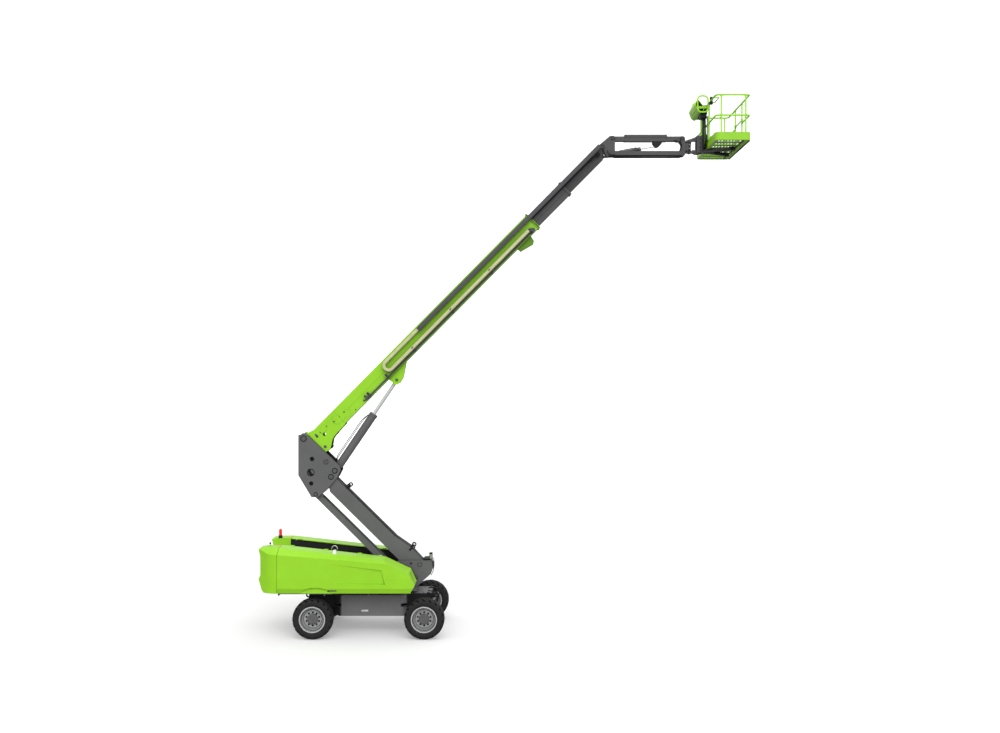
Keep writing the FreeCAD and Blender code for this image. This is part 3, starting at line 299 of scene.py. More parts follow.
def strip(corners, width, height, edge=0.003, sideways=(0, 1, 0), bend=None, steps=3):
    # a flat bar along corners, its section a rounded rectangle
    path = np.array(corners) if bend is None else roundedPath(corners, bend)
    return sweep(path, roundRect(width, height, edge, steps), sideways)


def hexBolt(size, height, centre, axis):
    # a washer and a six-sided head chamfered on top
    washer = lathe([(size * 1.15, 0), (size * 1.15, size * 0.18), (size, size * 0.2)], centre, axis, 18)
    head = lathe(
        [(size, size * 0.15), (size, height * 0.85), (size * 0.86, height)], centre, axis, 6
    )
    return joined([washer, head])


# materials


def nodeMaterial(name):
    material = bpy.data.materials.new(name)
    material.use_nodes = True
    tree = material.node_tree
    return material, tree, tree.nodes["Principled BSDF"]


def addNoise(tree, scale, detail=3.0, roughness=0.55, stretch=None):
    # fractal noise read in object coordinates, stretched along one direction if asked
    place = tree.nodes.new("ShaderNodeTexCoord")
    noise = tree.nodes.new("ShaderNodeTexNoise")
    noise.inputs["Scale"].default_value = scale
    noise.inputs["Detail"].default_value = detail
    noise.inputs["Roughness"].default_value = roughness
    source = place.outputs["Object"]
    if stretch is not None:
        mapping = tree.nodes.new("ShaderNodeMapping")
        mapping.inputs["Scale"].default_value = stretch
        tree.links.new(source, mapping.inputs["Vector"])
        source = mapping.outputs["Vector"]
    tree.links.new(source, noise.inputs["Vector"])
    return noise.outputs["Fac"]


def addRange(tree, value, fromLow, fromHigh, toLow, toHigh):
    spread = tree.nodes.new("ShaderNodeMapRange")
    for key, number in (("From Min", fromLow), ("From Max", fromHigh), ("To Min", toLow), ("To Max", toHigh)):
        spread.inputs[key].default_value = number
    tree.links.new(value, spread.inputs["Value"])
    return spread.outputs["Result"]


def addBump(tree, shader, height, strength, distance, below=None):
    bump = tree.nodes.new("ShaderNodeBump")
    bump.inputs["Strength"].default_value = strength
    bump.inputs["Distance"].default_value = distance
    tree.links.new(height, bump.inputs["Height"])
    if below is not None:
        tree.links.new(below.outputs["Normal"], bump.inputs["Normal"])
    tree.links.new(bump.outputs["Normal"], shader.inputs["Normal"])
    return bump


def mixColours(tree, amount, first, second):
    mix = tree.nodes.new("ShaderNodeMix")
    mix.data_type = "RGBA"
    tree.links.new(amount, mix.inputs["Factor"])
    mix.inputs["A"].default_value = (*first, 1)
    if isinstance(second, tuple):
        mix.inputs["B"].default_value = (*second, 1)
    else:
        tree.links.new(second, mix.inputs["B"])
    return mix


paintFinishes = {
    "limePaint": {"colour": (0.318, 0.690, 0.028), "dull": (0.296, 0.648, 0.024),
                  "rough": (0.34, 0.46), "coat": 0.10},
    "limeCasting": {"colour": (0.312, 0.680, 0.024), "dull": (0.286, 0.630, 0.020),
                    "rough": (0.40, 0.52), "coat": 0.06},
    "charcoalPaint": {"colour": (0.130, 0.130, 0.132), "dull": (0.116, 0.116, 0.118),
                      "rough": (0.44, 0.58), "coat": 0.04},
    "chassisPaint": {"colour": (0.172, 0.172, 0.174), "dull": (0.150, 0.150, 0.152),
                     "rough": (0.46, 0.62), "coat": 0.03},
    # the frame is darkened almost to black beyond its middle stretch: painted shade where its ends sit in shadow
    "framePaint": {"colour": (0.190, 0.190, 0.192), "dull": (0.168, 0.168, 0.170),
                   "rough": (0.46, 0.62), "coat": 0.03,
                   "ends": {"middle": -3.281, "from": 0.800, "to": 0.840, "tone": 0.07}},
    "flyPaint": {"colour": (0.060, 0.060, 0.061), "dull": (0.052, 0.052, 0.053),
                 "rough": (0.42, 0.56), "coat": 0.05},
    "boomPaint": {"colour": (0.088, 0.088, 0.090), "dull": (0.076, 0.076, 0.078),
                  "rough": (0.42, 0.56), "coat": 0.05},
    "blackPaint": {"colour": (0.009, 0.009, 0.010), "dull": (0.016, 0.016, 0.017),
                   "rough": (0.48, 0.66), "coat": 0.02},
    "wheelPaint": {"colour": (0.430, 0.432, 0.436), "dull": (0.370, 0.372, 0.376),
                   "rough": (0.32, 0.48), "coat": 0.12, "depth": 0.12},
    "railLime": {"colour": (0.400, 0.860, 0.030), "dull": (0.375, 0.810, 0.026),
                 "rough": (0.34, 0.46), "coat": 0.10},
    "brightPaint": {"colour": (0.520, 0.522, 0.526), "dull": (0.460, 0.462, 0.466),
                    "rough": (0.28, 0.40), "coat": 0.20, "depth": 0.10},
    "slatePaint": {"colour": (0.088, 0.080, 0.104), "dull": (0.076, 0.070, 0.090),
                   "rough": (0.45, 0.60), "coat": 0.03},
    # a darker copy of the lime, used as painted shade on the lug faces and the console's green column; the raised
    # seams wear it too
    "shadeLime": {"colour": (0.150, 0.320, 0.030), "dull": (0.135, 0.290, 0.026),
                  "rough": (0.45, 0.58), "coat": 0.03},
    "hubPaint": {"colour": (0.135, 0.135, 0.138), "dull": (0.112, 0.112, 0.115),
                 "rough": (0.42, 0.58), "coat": 0.05, "depth": 0.15},
}
# painted shade in corners: how far to look for other surfaces, the nearness range, and the most it darkens
paintedShade = {"reach": 0.26, "from": 0.30, "to": 0.84, "depth": 0.46}


def scaled(tree, colour, amount):
    # a colour made darker or brighter by an amount
    scale = tree.nodes.new("ShaderNodeVectorMath")
    scale.operation = "SCALE"
    tree.links.new(colour, scale.inputs[0])
    tree.links.new(amount, scale.inputs["Scale"])
    return scale.outputs["Vector"]


def shadeByNearness(tree, shader, colour, depth):
    # painted shade in corners: the colour is darkened where other surfaces stand close
    nearness = tree.nodes.new("ShaderNodeAmbientOcclusion")
    nearness.samples = 6
    nearness.inputs["Distance"].default_value = paintedShade["reach"]
    amount = addRange(tree, nearness.outputs["AO"], paintedShade["from"], paintedShade["to"], 1.0 - depth, 1.0)
    tree.links.new(scaled(tree, colour, amount), shader.inputs["Base Color"])


def paintMaterial(name, colour, dull, rough, coat, depth=paintedShade["depth"], ends=None):
    # paint: broad fading, fine dust in its roughness, the ripple of a sprayed coat, painted shade darkening it where
    # other surfaces stand close, and painted shade blackening its ends where asked
    material, tree, shader = nodeMaterial(name)
    fade = addRange(tree, addNoise(tree, 1.7, 4.0, 0.6), 0.35, 0.68, 0.0, 1.0)
    mix = mixColours(tree, fade, dull, colour)
    paint = mix.outputs["Result"]
    # painted shade: beyond a distance from the middle along the machine the colour falls almost to black
    if ends:
        split = tree.nodes.new("ShaderNodeSeparateXYZ")
        tree.links.new(tree.nodes.new("ShaderNodeTexCoord").outputs["Object"], split.inputs["Vector"])
        away = tree.nodes.new("ShaderNodeMath")
        away.operation = "SUBTRACT"
        away.inputs[1].default_value = ends["middle"]
        tree.links.new(split.outputs["X"], away.inputs[0])
        far = tree.nodes.new("ShaderNodeMath")
        far.operation = "ABSOLUTE"
        tree.links.new(away.outputs["Value"], far.inputs[0])
        endShade = addRange(tree, far.outputs["Value"], ends["from"], ends["to"], 1.0, ends["tone"])
        paint = scaled(tree, paint, endShade)
    shadeByNearness(tree, shader, paint, depth)
    dust = addRange(tree, addNoise(tree, 22.0, 5.0, 0.65), 0.3, 0.7, rough[0], rough[1])
    tree.links.new(dust, shader.inputs["Roughness"])
    shader.inputs["Specular IOR Level"].default_value = 0.18
    shader.inputs["Coat Weight"].default_value = coat
    shader.inputs["Coat Roughness"].default_value = 0.18
    addBump(tree, shader, addNoise(tree, 240.0, 2.0), 0.05, 0.002)
    return material


def rubberMaterial(name, colour, dusty):
    # rubber: dust that gathers in broad patches, a fine moulded grain, and painted shade darkening it where the groove
    # mask is set
    material, tree, shader = nodeMaterial(name)
    patches = addRange(tree, addNoise(tree, 7.0, 5.0, 0.6), 0.45, 0.8, 0.0, 0.55)
    mix = mixColours(tree, patches, colour, dusty)
    groove = tree.nodes.new("ShaderNodeAttribute")
    groove.attribute_name = "groove"
    grooveShade = scaled(tree, mix.outputs["Result"], addRange(tree, groove.outputs["Fac"], 0.1, 0.9, 1.0, 0.12))
    tree.links.new(grooveShade, shader.inputs["Base Color"])
    tree.links.new(addRange(tree, addNoise(tree, 30.0, 3.0), 0.3, 0.7, 0.62, 0.82), shader.inputs["Roughness"])
    shader.inputs["Specular IOR Level"].default_value = 0.15
    addBump(tree, shader, addNoise(tree, 160.0, 4.0), 0.25, 0.002)
    return material


def chromeMaterial(name, tint):
    # hard chrome: mirror-like, with hairline polishing marks across the rod
    material, tree, shader = nodeMaterial(name)
    marks = addNoise(tree, 90.0, 2.0, 0.5, stretch=(1.0, 14.0, 1.0))
    mix = mixColours(tree, addRange(tree, marks, 0.3, 0.7, 0.0, 1.0), tint, tuple(c * 0.9 for c in tint))
    tree.links.new(mix.outputs["Result"], shader.inputs["Base Color"])
    shader.inputs["Metallic"].default_value = 0.55
    tree.links.new(addRange(tree, marks, 0.3, 0.7, 0.12, 0.24), shader.inputs["Roughness"])
    return material


def zincMaterial(name, colour, rough):
    # plated steel: mottled colour and roughness at the size of the crystals
    material, tree, shader = nodeMaterial(name)
    mottle = addNoise(tree, 130.0, 3.0, 0.6)
    mix = mixColours(tree, addRange(tree, mottle, 0.3, 0.7, 0.0, 1.0), colour, tuple(c * 0.78 for c in colour))
    tree.links.new(mix.outputs["Result"], shader.inputs["Base Color"])
    shader.inputs["Metallic"].default_value = 0.85
    tree.links.new(addRange(tree, mottle, 0.3, 0.7, rough, rough + 0.15), shader.inputs["Roughness"])
    return material


def mouldedMaterial(name, colour, rough, grain=0.12, coat=0.0):
    # moulded plastic: slight clouding and a fine spark-eroded grain
    material, tree, shader = nodeMaterial(name)
    cloud = addRange(tree, addNoise(tree, 11.0, 3.0), 0.3, 0.7, 0.0, 1.0)
    mix = mixColours(tree, cloud, colour, tuple(c * 0.88 for c in colour))
    tree.links.new(mix.outputs["Result"], shader.inputs["Base Color"])
    dust = addRange(tree, addNoise(tree, 50.0, 3.0), 0.3, 0.7, rough, rough + 0.14)
    tree.links.new(dust, shader.inputs["Roughness"])
    shader.inputs["Specular IOR Level"].default_value = 0.25
    shader.inputs["Coat Weight"].default_value = coat
    addBump(tree, shader, addNoise(tree, 420.0, 2.0), grain, 0.001)
    return material


def beaconMaterial(name, colour):
    # tinted clear lens: bright base colour, some light let through, ribs as fine rings
    material, tree, shader = nodeMaterial(name)
    wave = tree.nodes.new("ShaderNodeTexWave")
    wave.bands_direction = "Z"
    wave.inputs["Scale"].default_value = 28.0
    place = tree.nodes.new("ShaderNodeTexCoord")
    tree.links.new(place.outputs["Object"], wave.inputs["Vector"])
    mix = mixColours(tree, wave.outputs["Fac"], colour, tuple(c * 0.8 for c in colour))
    tree.links.new(mix.outputs["Result"], shader.inputs["Base Color"])
    shader.inputs["Roughness"].default_value = 0.16
    shader.inputs["Transmission Weight"].default_value = 0.15
    shader.inputs["Emission Color"].default_value = (*colour, 1)
    shader.inputs["Emission Strength"].default_value = 0.25
    addBump(tree, shader, wave.outputs["Fac"], 0.25, 0.002)
    return material


finish = {name: paintMaterial(name, **look) for name, look in paintFinishes.items()}
finish["tyreRubber"] = rubberMaterial("tyreRubber", (0.020, 0.020, 0.020), (0.030, 0.029, 0.028))
finish["sealRubber"] = rubberMaterial("sealRubber", (0.010, 0.010, 0.011), (0.022, 0.022, 0.022))
finish["hoseRubber"] = rubberMaterial("hoseRubber", (0.016, 0.016, 0.017), (0.030, 0.030, 0.030))
finish["hardChrome"] = chromeMaterial("hardChrome", (0.84, 0.84, 0.86))
finish["zincSteel"] = zincMaterial("zincSteel", (0.52, 0.52, 0.50), 0.32)
finish["darkSteel"] = zincMaterial("darkSteel", (0.12, 0.12, 0.13), 0.42)
finish["chainPlastic"] = mouldedMaterial("chainPlastic", (0.640, 0.640, 0.370), 0.40)
finish["blackPlastic"] = mouldedMaterial("blackPlastic", (0.018, 0.018, 0.020), 0.38)
finish["panelPlastic"] = mouldedMaterial("panelPlastic", (0.010, 0.010, 0.012), 0.55)
finish["knobRed"] = mouldedMaterial("knobRed", (0.55, 0.015, 0.010), 0.28, 0.05, 0.4)
finish["markerOrange"] = mouldedMaterial("markerOrange", (0.85, 0.30, 0.01), 0.25, 0.03, 0.4)
finish["markerWhite"] = mouldedMaterial("markerWhite", (0.75, 0.75, 0.74), 0.30, 0.03, 0.3)
finish["beaconRed"] = beaconMaterial("beaconRed", (0.80, 0.030, 0.012))
print("materials made:", len(finish))


def addPiece(name, shape, body, material, bevel=0.0, creaseAngle=34.0):
    # one finished piece: the shape as a mesh at the origin, smooth but for edges sharper than the crease angle
    verts, groups = shape
    mesh = bpy.data.meshes.new(name)
    mesh.from_pydata(np.round(verts, 6).tolist(), [], [f for g in groups for f in g.tolist()])
    mesh.update()
    mesh.shade_smooth()
    mesh.set_sharp_from_angle(angle=math.radians(creaseAngle))
    mesh.materials.append(finish[material])
    piece = bpy.data.objects.new(name, mesh)
    bpy.context.scene.collection.objects.link(piece)
    if bevel > 0:
        rounding = piece.modifiers.new("edges", "BEVEL")
        rounding.width = bevel
        rounding.segments = 2
        rounding.limit_method = "ANGLE"
        rounding.angle_limit = math.radians(40)
        rounding.harden_normals = True
    if body is not None:
        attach(piece, body)
    return piece


# finishes of the carried-over pieces

nodeFinish = {
    "framePaint": ["chassis_frame"],
    "chassisPaint": ["drive_axle", "steer_axle", "steering_knuckle_near", "steering_knuckle_far",
                     "slewing_ring", "turntable_frame"],
    "darkSteel": ["track_rod", "engine_block"],
    "charcoalPaint": ["boom_foot", "riser_arm", "riser_tie", "upright", "boom_cylinder_barrel",
                      "riser_cylinder_barrel"],
    "flyPaint": ["boom_fly"],
    "boomPaint": ["boom_mid", "jib_link", "jib_arm", "jib_tie", "jib_head", "platform_bracket",
                  "jib_cylinder_barrel", "cable_tray"],
    "limePaint": ["cover_near", "cover_far", "boom_base", "platform_floor", "platform_rails", "entry_bar",
                  "control_console", "console_guard"],
    "limeCasting": ["counterweight"],
    "panelPlastic": ["channel_panel_near", "channel_panel_far"],
    "slatePaint": ["hose_tube"],
    "blackPlastic": ["tank_block"],
    "hardChrome": ["boom_cylinder_rod", "riser_cylinder_rod", "jib_cylinder_rod"],
    "chainPlastic": ["chain_upper", "chain_lower", "chain_bend"],
    "beaconRed": ["beacon"],
    "wheelPaint": ["rim_drive_near", "rim_drive_far", "rim_steer_near", "rim_steer_far"],
    "tyreRubber": ["tyre_drive_near", "tyre_drive_far", "tyre_steer_near", "tyre_steer_far"],
}
for finishName, members in nodeFinish.items():
    for member in members:
        nodes[member].data.materials.clear()
        nodes[member].data.materials.append(finish[finishName])
print("carried-over pieces finished")


# tyres, with their lugs

tyreLook = {"lugs": 19, "lugDepth": 0.026, "slant": 0.62, "gapInner": 0.16, "gapOuter": 0.36, "gapEnd": 0.60,
            "aroundSteps": 608, "crossSteps": 71,
            "section": [(0.0, 0.500), (0.070, 0.4990), (0.120, 0.4930), (0.146, 0.481), (0.162, 0.462),
                        (0.173, 0.432), (0.177, 0.396), (0.174, 0.356), (0.162, 0.330), (0.150, 0.320)]}


def tyreShape(centre, side, look):
    # Two parameters: turn round the axle, and place across the tyre from bead to bead.
    # Across: a smooth curve through the half section's points, mirrored, walked at even arc length.
    # Round: a cosine of the turn times the lug count, its phase slanted by the distance from the
    # middle and half a pitch apart on the two sides; where it tops a limit the surface sinks along
    # its own normal by the lug depth, fading out on the shoulder.
    curve = smoothPath([(x, 0.0, r) for x, r in look["section"]])[:, [0, 2]]
    walked = np.concatenate([[0], np.cumsum(np.linalg.norm(np.diff(curve, axis=0), axis=1))])
    walked /= walked[-1]
    across = np.linspace(-1, 1, look["crossSteps"])
    away, hand = np.abs(across), np.sign(across)
    lateral = np.interp(away, walked, curve[:, 0])
    radius = np.interp(away, walked, curve[:, 1])
    slope = np.gradient(curve, walked, axis=0)
    slope /= np.linalg.norm(slope, axis=1, keepdims=True)
    outwardSide = np.interp(away, walked, -slope[:, 1])
    outwardUp = np.interp(away, walked, slope[:, 0])
    turn = np.linspace(0, 2 * math.pi, look["aroundSteps"], endpoint=False)[:, None]
    half = curve[:, 0].max()
    slanted = 2.8 * math.pi * look["slant"] * lateral / half
    phase = look["lugs"] * turn + slanted + np.where(across > 0, math.pi, 0)
    limit = look["gapInner"] + (look["gapOuter"] - look["gapInner"]) * np.clip(away / look["gapEnd"], 0, 1)
    gap = np.clip((np.cos(phase) - np.cos(limit * math.pi)) * 3.5 + 0.5, 0, 1)
    fade = 1 - np.clip((away - look["gapEnd"] + 0.09) / 0.09, 0, 1)
    sink = look["lugDepth"] * gap * fade * (1 - 0.9 * np.exp(-(across / 0.03) ** 2))
    ring = 0.0025 * np.exp(-((away - 0.74) / 0.012) ** 2) + 0.0025 * np.exp(-((away - 0.93) / 0.012) ** 2)
    lift = ring - sink
    y = hand * np.minimum(lateral + lift * outwardSide, half)
    r = np.minimum(radius + lift * outwardUp, look["section"][0][1])
    points = centre + np.stack([r * np.cos(turn), side * y + 0 * turn, r * np.sin(turn)], -1)
    # the gap mask, for painted shade in the tread's grooves
    grooveShade = np.broadcast_to(gap * fade, r.shape)
    return gridShape(points, wrapRows=True, wrapCols=True), grooveShade.ravel()


for end in ("drive", "steer"):
    for sideName, side in (("near", -1), ("far", 1)):
        low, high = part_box(f"tyre_{end}_{sideName}")
        centre = (np.array(low) + np.array(high)) / 2
        shape, grooveShade = tyreShape(centre, side, tyreLook)
        tyre = addPiece(f"tyre_tread_{end}_{sideName}", shape, f"wheel_{end}_{sideName}", "tyreRubber",
                        creaseAngle=48)
        # the groove mask that the rubber reads for its painted shade
        groove = tyre.data.attributes.new("groove", "FLOAT", "POINT")
        groove.data.foreach_set("value", grooveShade)
        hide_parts(f"tyre_{end}_{sideName}")
print("tyres made")


# hub covers and wheel nuts

hubLook = {"nutCircle": 0.163, "nuts": 10, "nutSize": 0.0205, "nutHeight": 0.030, "discDepth": 0.128,
           "faceDepth": 0.062, "coverRadius": 0.1245, "bossRadius": 0.040, "screws": 8, "wheelFace": 1.245,
           # rings inside the rim: inner and outer radius, depth, place behind the wheel's face, steps
           "brightRings": [(0.2925, 0.3210, 0.0045, 0.0085, 96), (0.2865, 0.2915, 0.0920, 0.1000, 96)],
           "darkRings": [(0.2880, 0.2945, 0.0035, 0.0075, 96), (0.2825, 0.2915, 0.0070, 0.0560, 96),
                         (0.2795, 0.2915, 0.0100, 0.1080, 96), (0.2235, 0.2305, 0.0040, 0.1280, 72)]}


def hubShape(face, outward, look):
    # a cup over the hub: (distance from the axle, height) turned round it, with a raised boss and screws
    cup, boss = look["coverRadius"], look["bossRadius"]
    down = look["faceDepth"] - look["discDepth"]
    cover = lathe(
        [(cup + 0.004, down + 0.001), (cup + 0.004, down + 0.010), (cup, down + 0.014), (cup, -0.010),
         (cup - 0.016, 0.004), (boss + 0.012, 0.004), (boss + 0.009, 0.001), (boss, 0.001), (boss - 0.003, 0.008),
         (0.016, 0.009), (0.013, 0.005), (0.001, 0.005)],
        face, outward, 48)
    screw = hexBolt(0.008, 0.008, face + outward * 0.004 + upward * (cup - 0.030), outward)
    plug = hexBolt(0.011, 0.010, face + outward * 0.004 + upward * (boss + 0.026), outward)
    return joined([cover, ringed(screw, face, outward, look["screws"]), ringed(plug, face, outward, 2, 0.6)])


def rimRings(rings, wheelFace, outward):
    # flat rings round the axle, each set back from the wheel's face
    return joined([openRing(inner, outer, depth, wheelFace - outward * back, outward, steps)
                   for inner, outer, depth, back, steps in rings])


for end in ("drive", "steer"):
    for sideName, side in (("near", -1), ("far", 1)):
        hub = jointPlace(f"wheel_{end}_{sideName}_spin")
        outward = np.array([0.0, side, 0.0])
        wheelFace = np.array([hub[0], side * hubLook["wheelFace"], hub[2]])
        disc = wheelFace - outward * hubLook["discDepth"]
        tag, body = f"{end}_{sideName}", f"wheel_{end}_{sideName}"
        nutPlace = disc + upward * hubLook["nutCircle"]
        nut = hexBolt(hubLook["nutSize"], hubLook["nutHeight"], nutPlace, outward)
        stud = lathe([(0.009, 0.0), (0.009, 0.040), (0.007, 0.043)], nutPlace, outward, 10)
        nuts = ringed(joined([nut, stud]), disc, outward, hubLook["nuts"])
        addPiece(f"wheel_nuts_{tag}", nuts, body, "blackPaint")
        addPiece(f"rim_bands_{tag}", rimRings(hubLook["brightRings"], wheelFace, outward), body, "brightPaint")
        addPiece(f"rim_lines_{tag}", rimRings(hubLook["darkRings"], wheelFace, outward), body, "blackPaint")
        hubFace = wheelFace - outward * hubLook["faceDepth"]
        addPiece(f"hub_cover_{tag}", hubShape(hubFace, outward, hubLook), body, "hubPaint")
print("hubs made")


# chassis fittings

chassisLook = {"top": 0.970, "half": 0.600, "eyeX": 1.630, "eyeZ": 0.915, "eyeY": 0.330, "eyeRadius": 0.030,
               "hoseRadius": 0.013, "boltCircle": 0.505, "ringBolts": 30, "ringTop": 1.0085,
               "plateX": 1.160, "plateHalf": 0.340, "plateWide": 0.388, "plateThick": 0.012,
               "boltXs": (0.90, 1.10, 1.30, 1.45), "boltY": 0.350, "driveHoseYs": (-0.28, -0.12, 0.12, 0.28),
               "steerHoseYs": (-0.20, 0.20), "pocketX": 0.850, "pocketHalf": 0.110, "pocketZs": (0.692, 0.753),
               "slotX": (-0.245, -0.075), "slotZ": (0.558, 0.600)}

look = chassisLook
eyes = [openRing(look["eyeRadius"] + 0.001, look["eyeRadius"] + 0.030, 0.006,
                 fromSlew(e * look["eyeX"], s * look["eyeY"] + h * 0.012, look["eyeZ"]), (0.0, float(h), 0.0))
        for e in (-1, 1) for s in (-1, 1) for h in (-1, 1)]
addPiece("tie_down_rims", joined(eyes), "chassis", "blackPaint")

# plates over the axles, with their bolts
plateTop = look["top"] + look["plateThick"]
plates = [block(fromSlew(e * look["plateX"] - look["plateHalf"], -look["plateWide"], look["top"]),
                fromSlew(e * look["plateX"] + look["plateHalf"], look["plateWide"], plateTop)) for e in (-1, 1)]
addPiece("axle_top_plates", joined(plates), "chassis", "chassisPaint")
bolts = [hexBolt(0.017, 0.020, fromSlew(e * x, y, plateTop), upward)
         for e in (-1, 1) for x in look["boltXs"] for y in (-look["boltY"], look["boltY"])]
addPiece("axle_plate_bolts", joined(bolts), "chassis", "darkSteel")

# hoses from the drive axle's motors up into the frame, and the steering hoses at the other end
hoses = []
for y in look["driveHoseYs"]:
    hoses.append(tube([fromSlew(1.525, y, 0.70), fromSlew(1.60, y, 0.70), fromSlew(1.665, y * 1.3, 0.80),
                       fromSlew(1.650, y * 1.7, 0.94), fromSlew(1.540, y * 1.9, 0.985),
                       fromSlew(1.40, y * 1.5, 0.996)], look["hoseRadius"], steps=10))
for y in look["steerHoseYs"]:
    hoses.append(tube([fromSlew(-1.520, y, 0.72), fromSlew(-1.60, y, 0.70), fromSlew(-1.64, y * 1.8, 0.60),
                       fromSlew(-1.56, y * 2.8, 0.52)], look["hoseRadius"], steps=10))
addPiece("axle_hoses", joined(hoses), "chassis", "hoseRubber", creaseAngle=60)
fitting = [(0.020, 0.0), (0.020, 0.03), (0.015, 0.034), (0.015, 0.05)]
fittings = [lathe(fitting, fromSlew(e * 1.518, y, z), (float(e), 0.0, 0.0), 8)
            for e, ys, z in ((1, look["driveHoseYs"], 0.70), (-1, look["steerHoseYs"], 0.72)) for y in ys]
addPiece("hose_fittings", joined(fittings), "chassis", "zincSteel")

# fork pockets' lips and the pale sight slot in the side of the frame
lipHalf = np.array([look["pocketHalf"], 0.014, 0.008])
lipPlaces = [fromSlew(x, s * (look["half"] - 0.012), z)
             for s in (-1, 1) for x in (-look["pocketX"], look["pocketX"]) for z in look["pocketZs"]]
addPiece("fork_pocket_lips", joined([block(place - lipHalf, place + lipHalf, 0.003) for place in lipPlaces]),
         "chassis", "blackPaint")
slots = [block(fromSlew(look["slotX"][0], s * look["half"] - 0.004, look["slotZ"][0]),
               fromSlew(look["slotX"][1], s * look["half"] + 0.004, look["slotZ"][1])) for s in (-1, 1)]
addPiece("sight_slots", joined(slots), "chassis", "markerWhite")

ringBolt = hexBolt(0.013, 0.020, fromSlew(look["boltCircle"], 0, look["ringTop"]), upward)
ringBolts = ringed(ringBolt, groundCentre, upward, look["ringBolts"])
addPiece("slewing_ring_bolts", ringBolts, "chassis", "darkSteel")
print("chassis fitted")


# hoods and counterweight: seals, latches, lock eye, knob and markers

hoodLook = {"rear": -2.242, "top": 2.220, "fall": 0.1127, "bottom": 1.140, "halfWidth": 1.220,
            "sealRadius": 0.011, "latchX": -0.885, "latchZ": 1.210, "latchSpan": 0.210,
            "lockX": -0.875, "lockY": -0.88, "lockRing": 0.068, "lockBar": 0.012, "lockBlock": 0.118,
            "knobX": -2.545, "knobY": -0.58, "knobRadius": 0.025, "knobStem": 0.040,
            "markerX": -2.318, "markerY": -0.60, "lampY": 0.700, "lampLow": 1.700, "lampHigh": 1.860,
            "hingeXs": (-2.00, -1.15, -0.30, 0.22), "lowerSeals": ((-2.222, -1.720), (-0.880, 1.020))}


def hoodTop(x):  # height of the flat top along the machine, falling towards the nose
    return hoodLook["top"] - (x - hoodLook["rear"]) * hoodLook["fall"]


look = hoodLook
# two front seals run down each hood's falling nose, and a thinner one along its lower edge
noseLine = [(0.335, hoodTop(0.330) - 0.010), (0.930, 1.648), (1.000, 1.618), (1.132, 1.322), (1.046, 1.168)]
seals = [tube([fromSlew(x, y, z) for x, z in noseLine], look["sealRadius"], bend=0.03, steps=8)
         for y in (-0.512, -0.945)]
wide, sealZ = look["halfWidth"] - 0.030, look["bottom"] - 0.004
seals += [tube([fromSlew(a, -wide, sealZ), fromSlew(b, -wide, sealZ)], 0.009, bend=0.01, steps=8)
          for a, b in look["lowerSeals"]]
for sideName, seal in (("near", joined(seals)), ("far", farCopy(joined(seals)))):
    addPiece(f"hood_seals_{sideName}", seal, f"cover_{sideName}", "sealRubber", creaseAngle=60)

# the front edge's black lip, a flat strip beside the nose's inner edge
lip = strip([fromSlew(x, -0.497, z + 0.004) for x, z in noseLine], 0.012, 0.030, 0.004, bend=0.03)
addPiece("hood_lip_near", lip, "cover_near", "blackPaint")
addPiece("hood_lip_far", farCopy(lip), "cover_far", "blackPaint")

# latch: a dark cup behind the grip slot and a pull bar across it
cupX, cupZ, span = look["latchX"], look["latchZ"], look["latchSpan"]
cupLow, cupHigh = cupX - span / 2, cupX + span / 2
cup = block(fromSlew(cupLow - 0.012, -1.206, cupZ - 0.030), fromSlew(cupHigh + 0.012, -1.150, cupZ + 0.030), 0.010)
bar = block(fromSlew(cupLow + 0.030, -1.222, cupZ - 0.010), fromSlew(cupHigh - 0.010, -1.205, cupZ + 0.012), 0.005)
for sideName, mirror in (("near", lambda s: s), ("far", farCopy)):
    addPiece(f"latch_cup_{sideName}", mirror(cup), f"cover_{sideName}", "blackPlastic")
    addPiece(f"latch_bar_{sideName}", mirror(bar), f"cover_{sideName}", "darkSteel")

# lock eye: a half ring of bright bar standing in a pale tapered block on the flat top
lockBase = fromSlew(look["lockX"], look["lockY"], hoodTop(look["lockX"]))
size, ringR = look["lockBlock"], look["lockRing"]
taper = lathe([(size * 0.62, -0.004), (size * 0.60, 0.006), (size * 0.42, size * 0.75), (size * 0.36, size * 0.80)],
              lockBase, upward, 4, phase=math.pi / 4)
arc = np.linspace(-0.35, math.pi + 0.35, 22)
loop = np.stack([ringR * np.cos(arc), 0 * arc, ringR * np.sin(arc) + size * 0.78 + ringR * 0.55], -1) + lockBase
ring = sweep(loop, circleProfile(look["lockBar"], 10), (0.0, 1.0, 0.0))
keeper = lathe([(0.022, -0.020), (0.028, -0.016), (0.028, 0.016), (0.022, 0.020)],
               lockBase + np.array([-0.034, 0, size * 0.78 + 0.030]), (0.0, 1.0, 0.0), 16)
addPiece("lock_block", taper, "cover_near", "markerWhite")
addPiece("lock_ring", ring, "cover_near", "zincSteel")
addPiece("lock_keeper", keeper, "cover_near", "blackPaint")

# hinges along the inner top edge of each hood
barrels = [lathe([(0.008, -0.055), (0.011, -0.052), (0.011, 0.052), (0.008, 0.055)],
                 fromSlew(x, -0.506, hoodTop(x) + 0.008), (1.0, 0.0, 0.0), 14) for x in look["hingeXs"]]
leaves = [block(fromSlew(x - 0.050, -0.570, hoodTop(x + 0.05) - 0.001),
                fromSlew(x + 0.050, -0.508, hoodTop(x - 0.05) + 0.004), 0.002)
          for x in look["hingeXs"]]
for sideName, mirror in (("near", lambda s: s), ("far", farCopy)):
    addPiece(f"hood_hinges_{sideName}", mirror(joined(barrels + leaves)), f"cover_{sideName}", "limePaint")

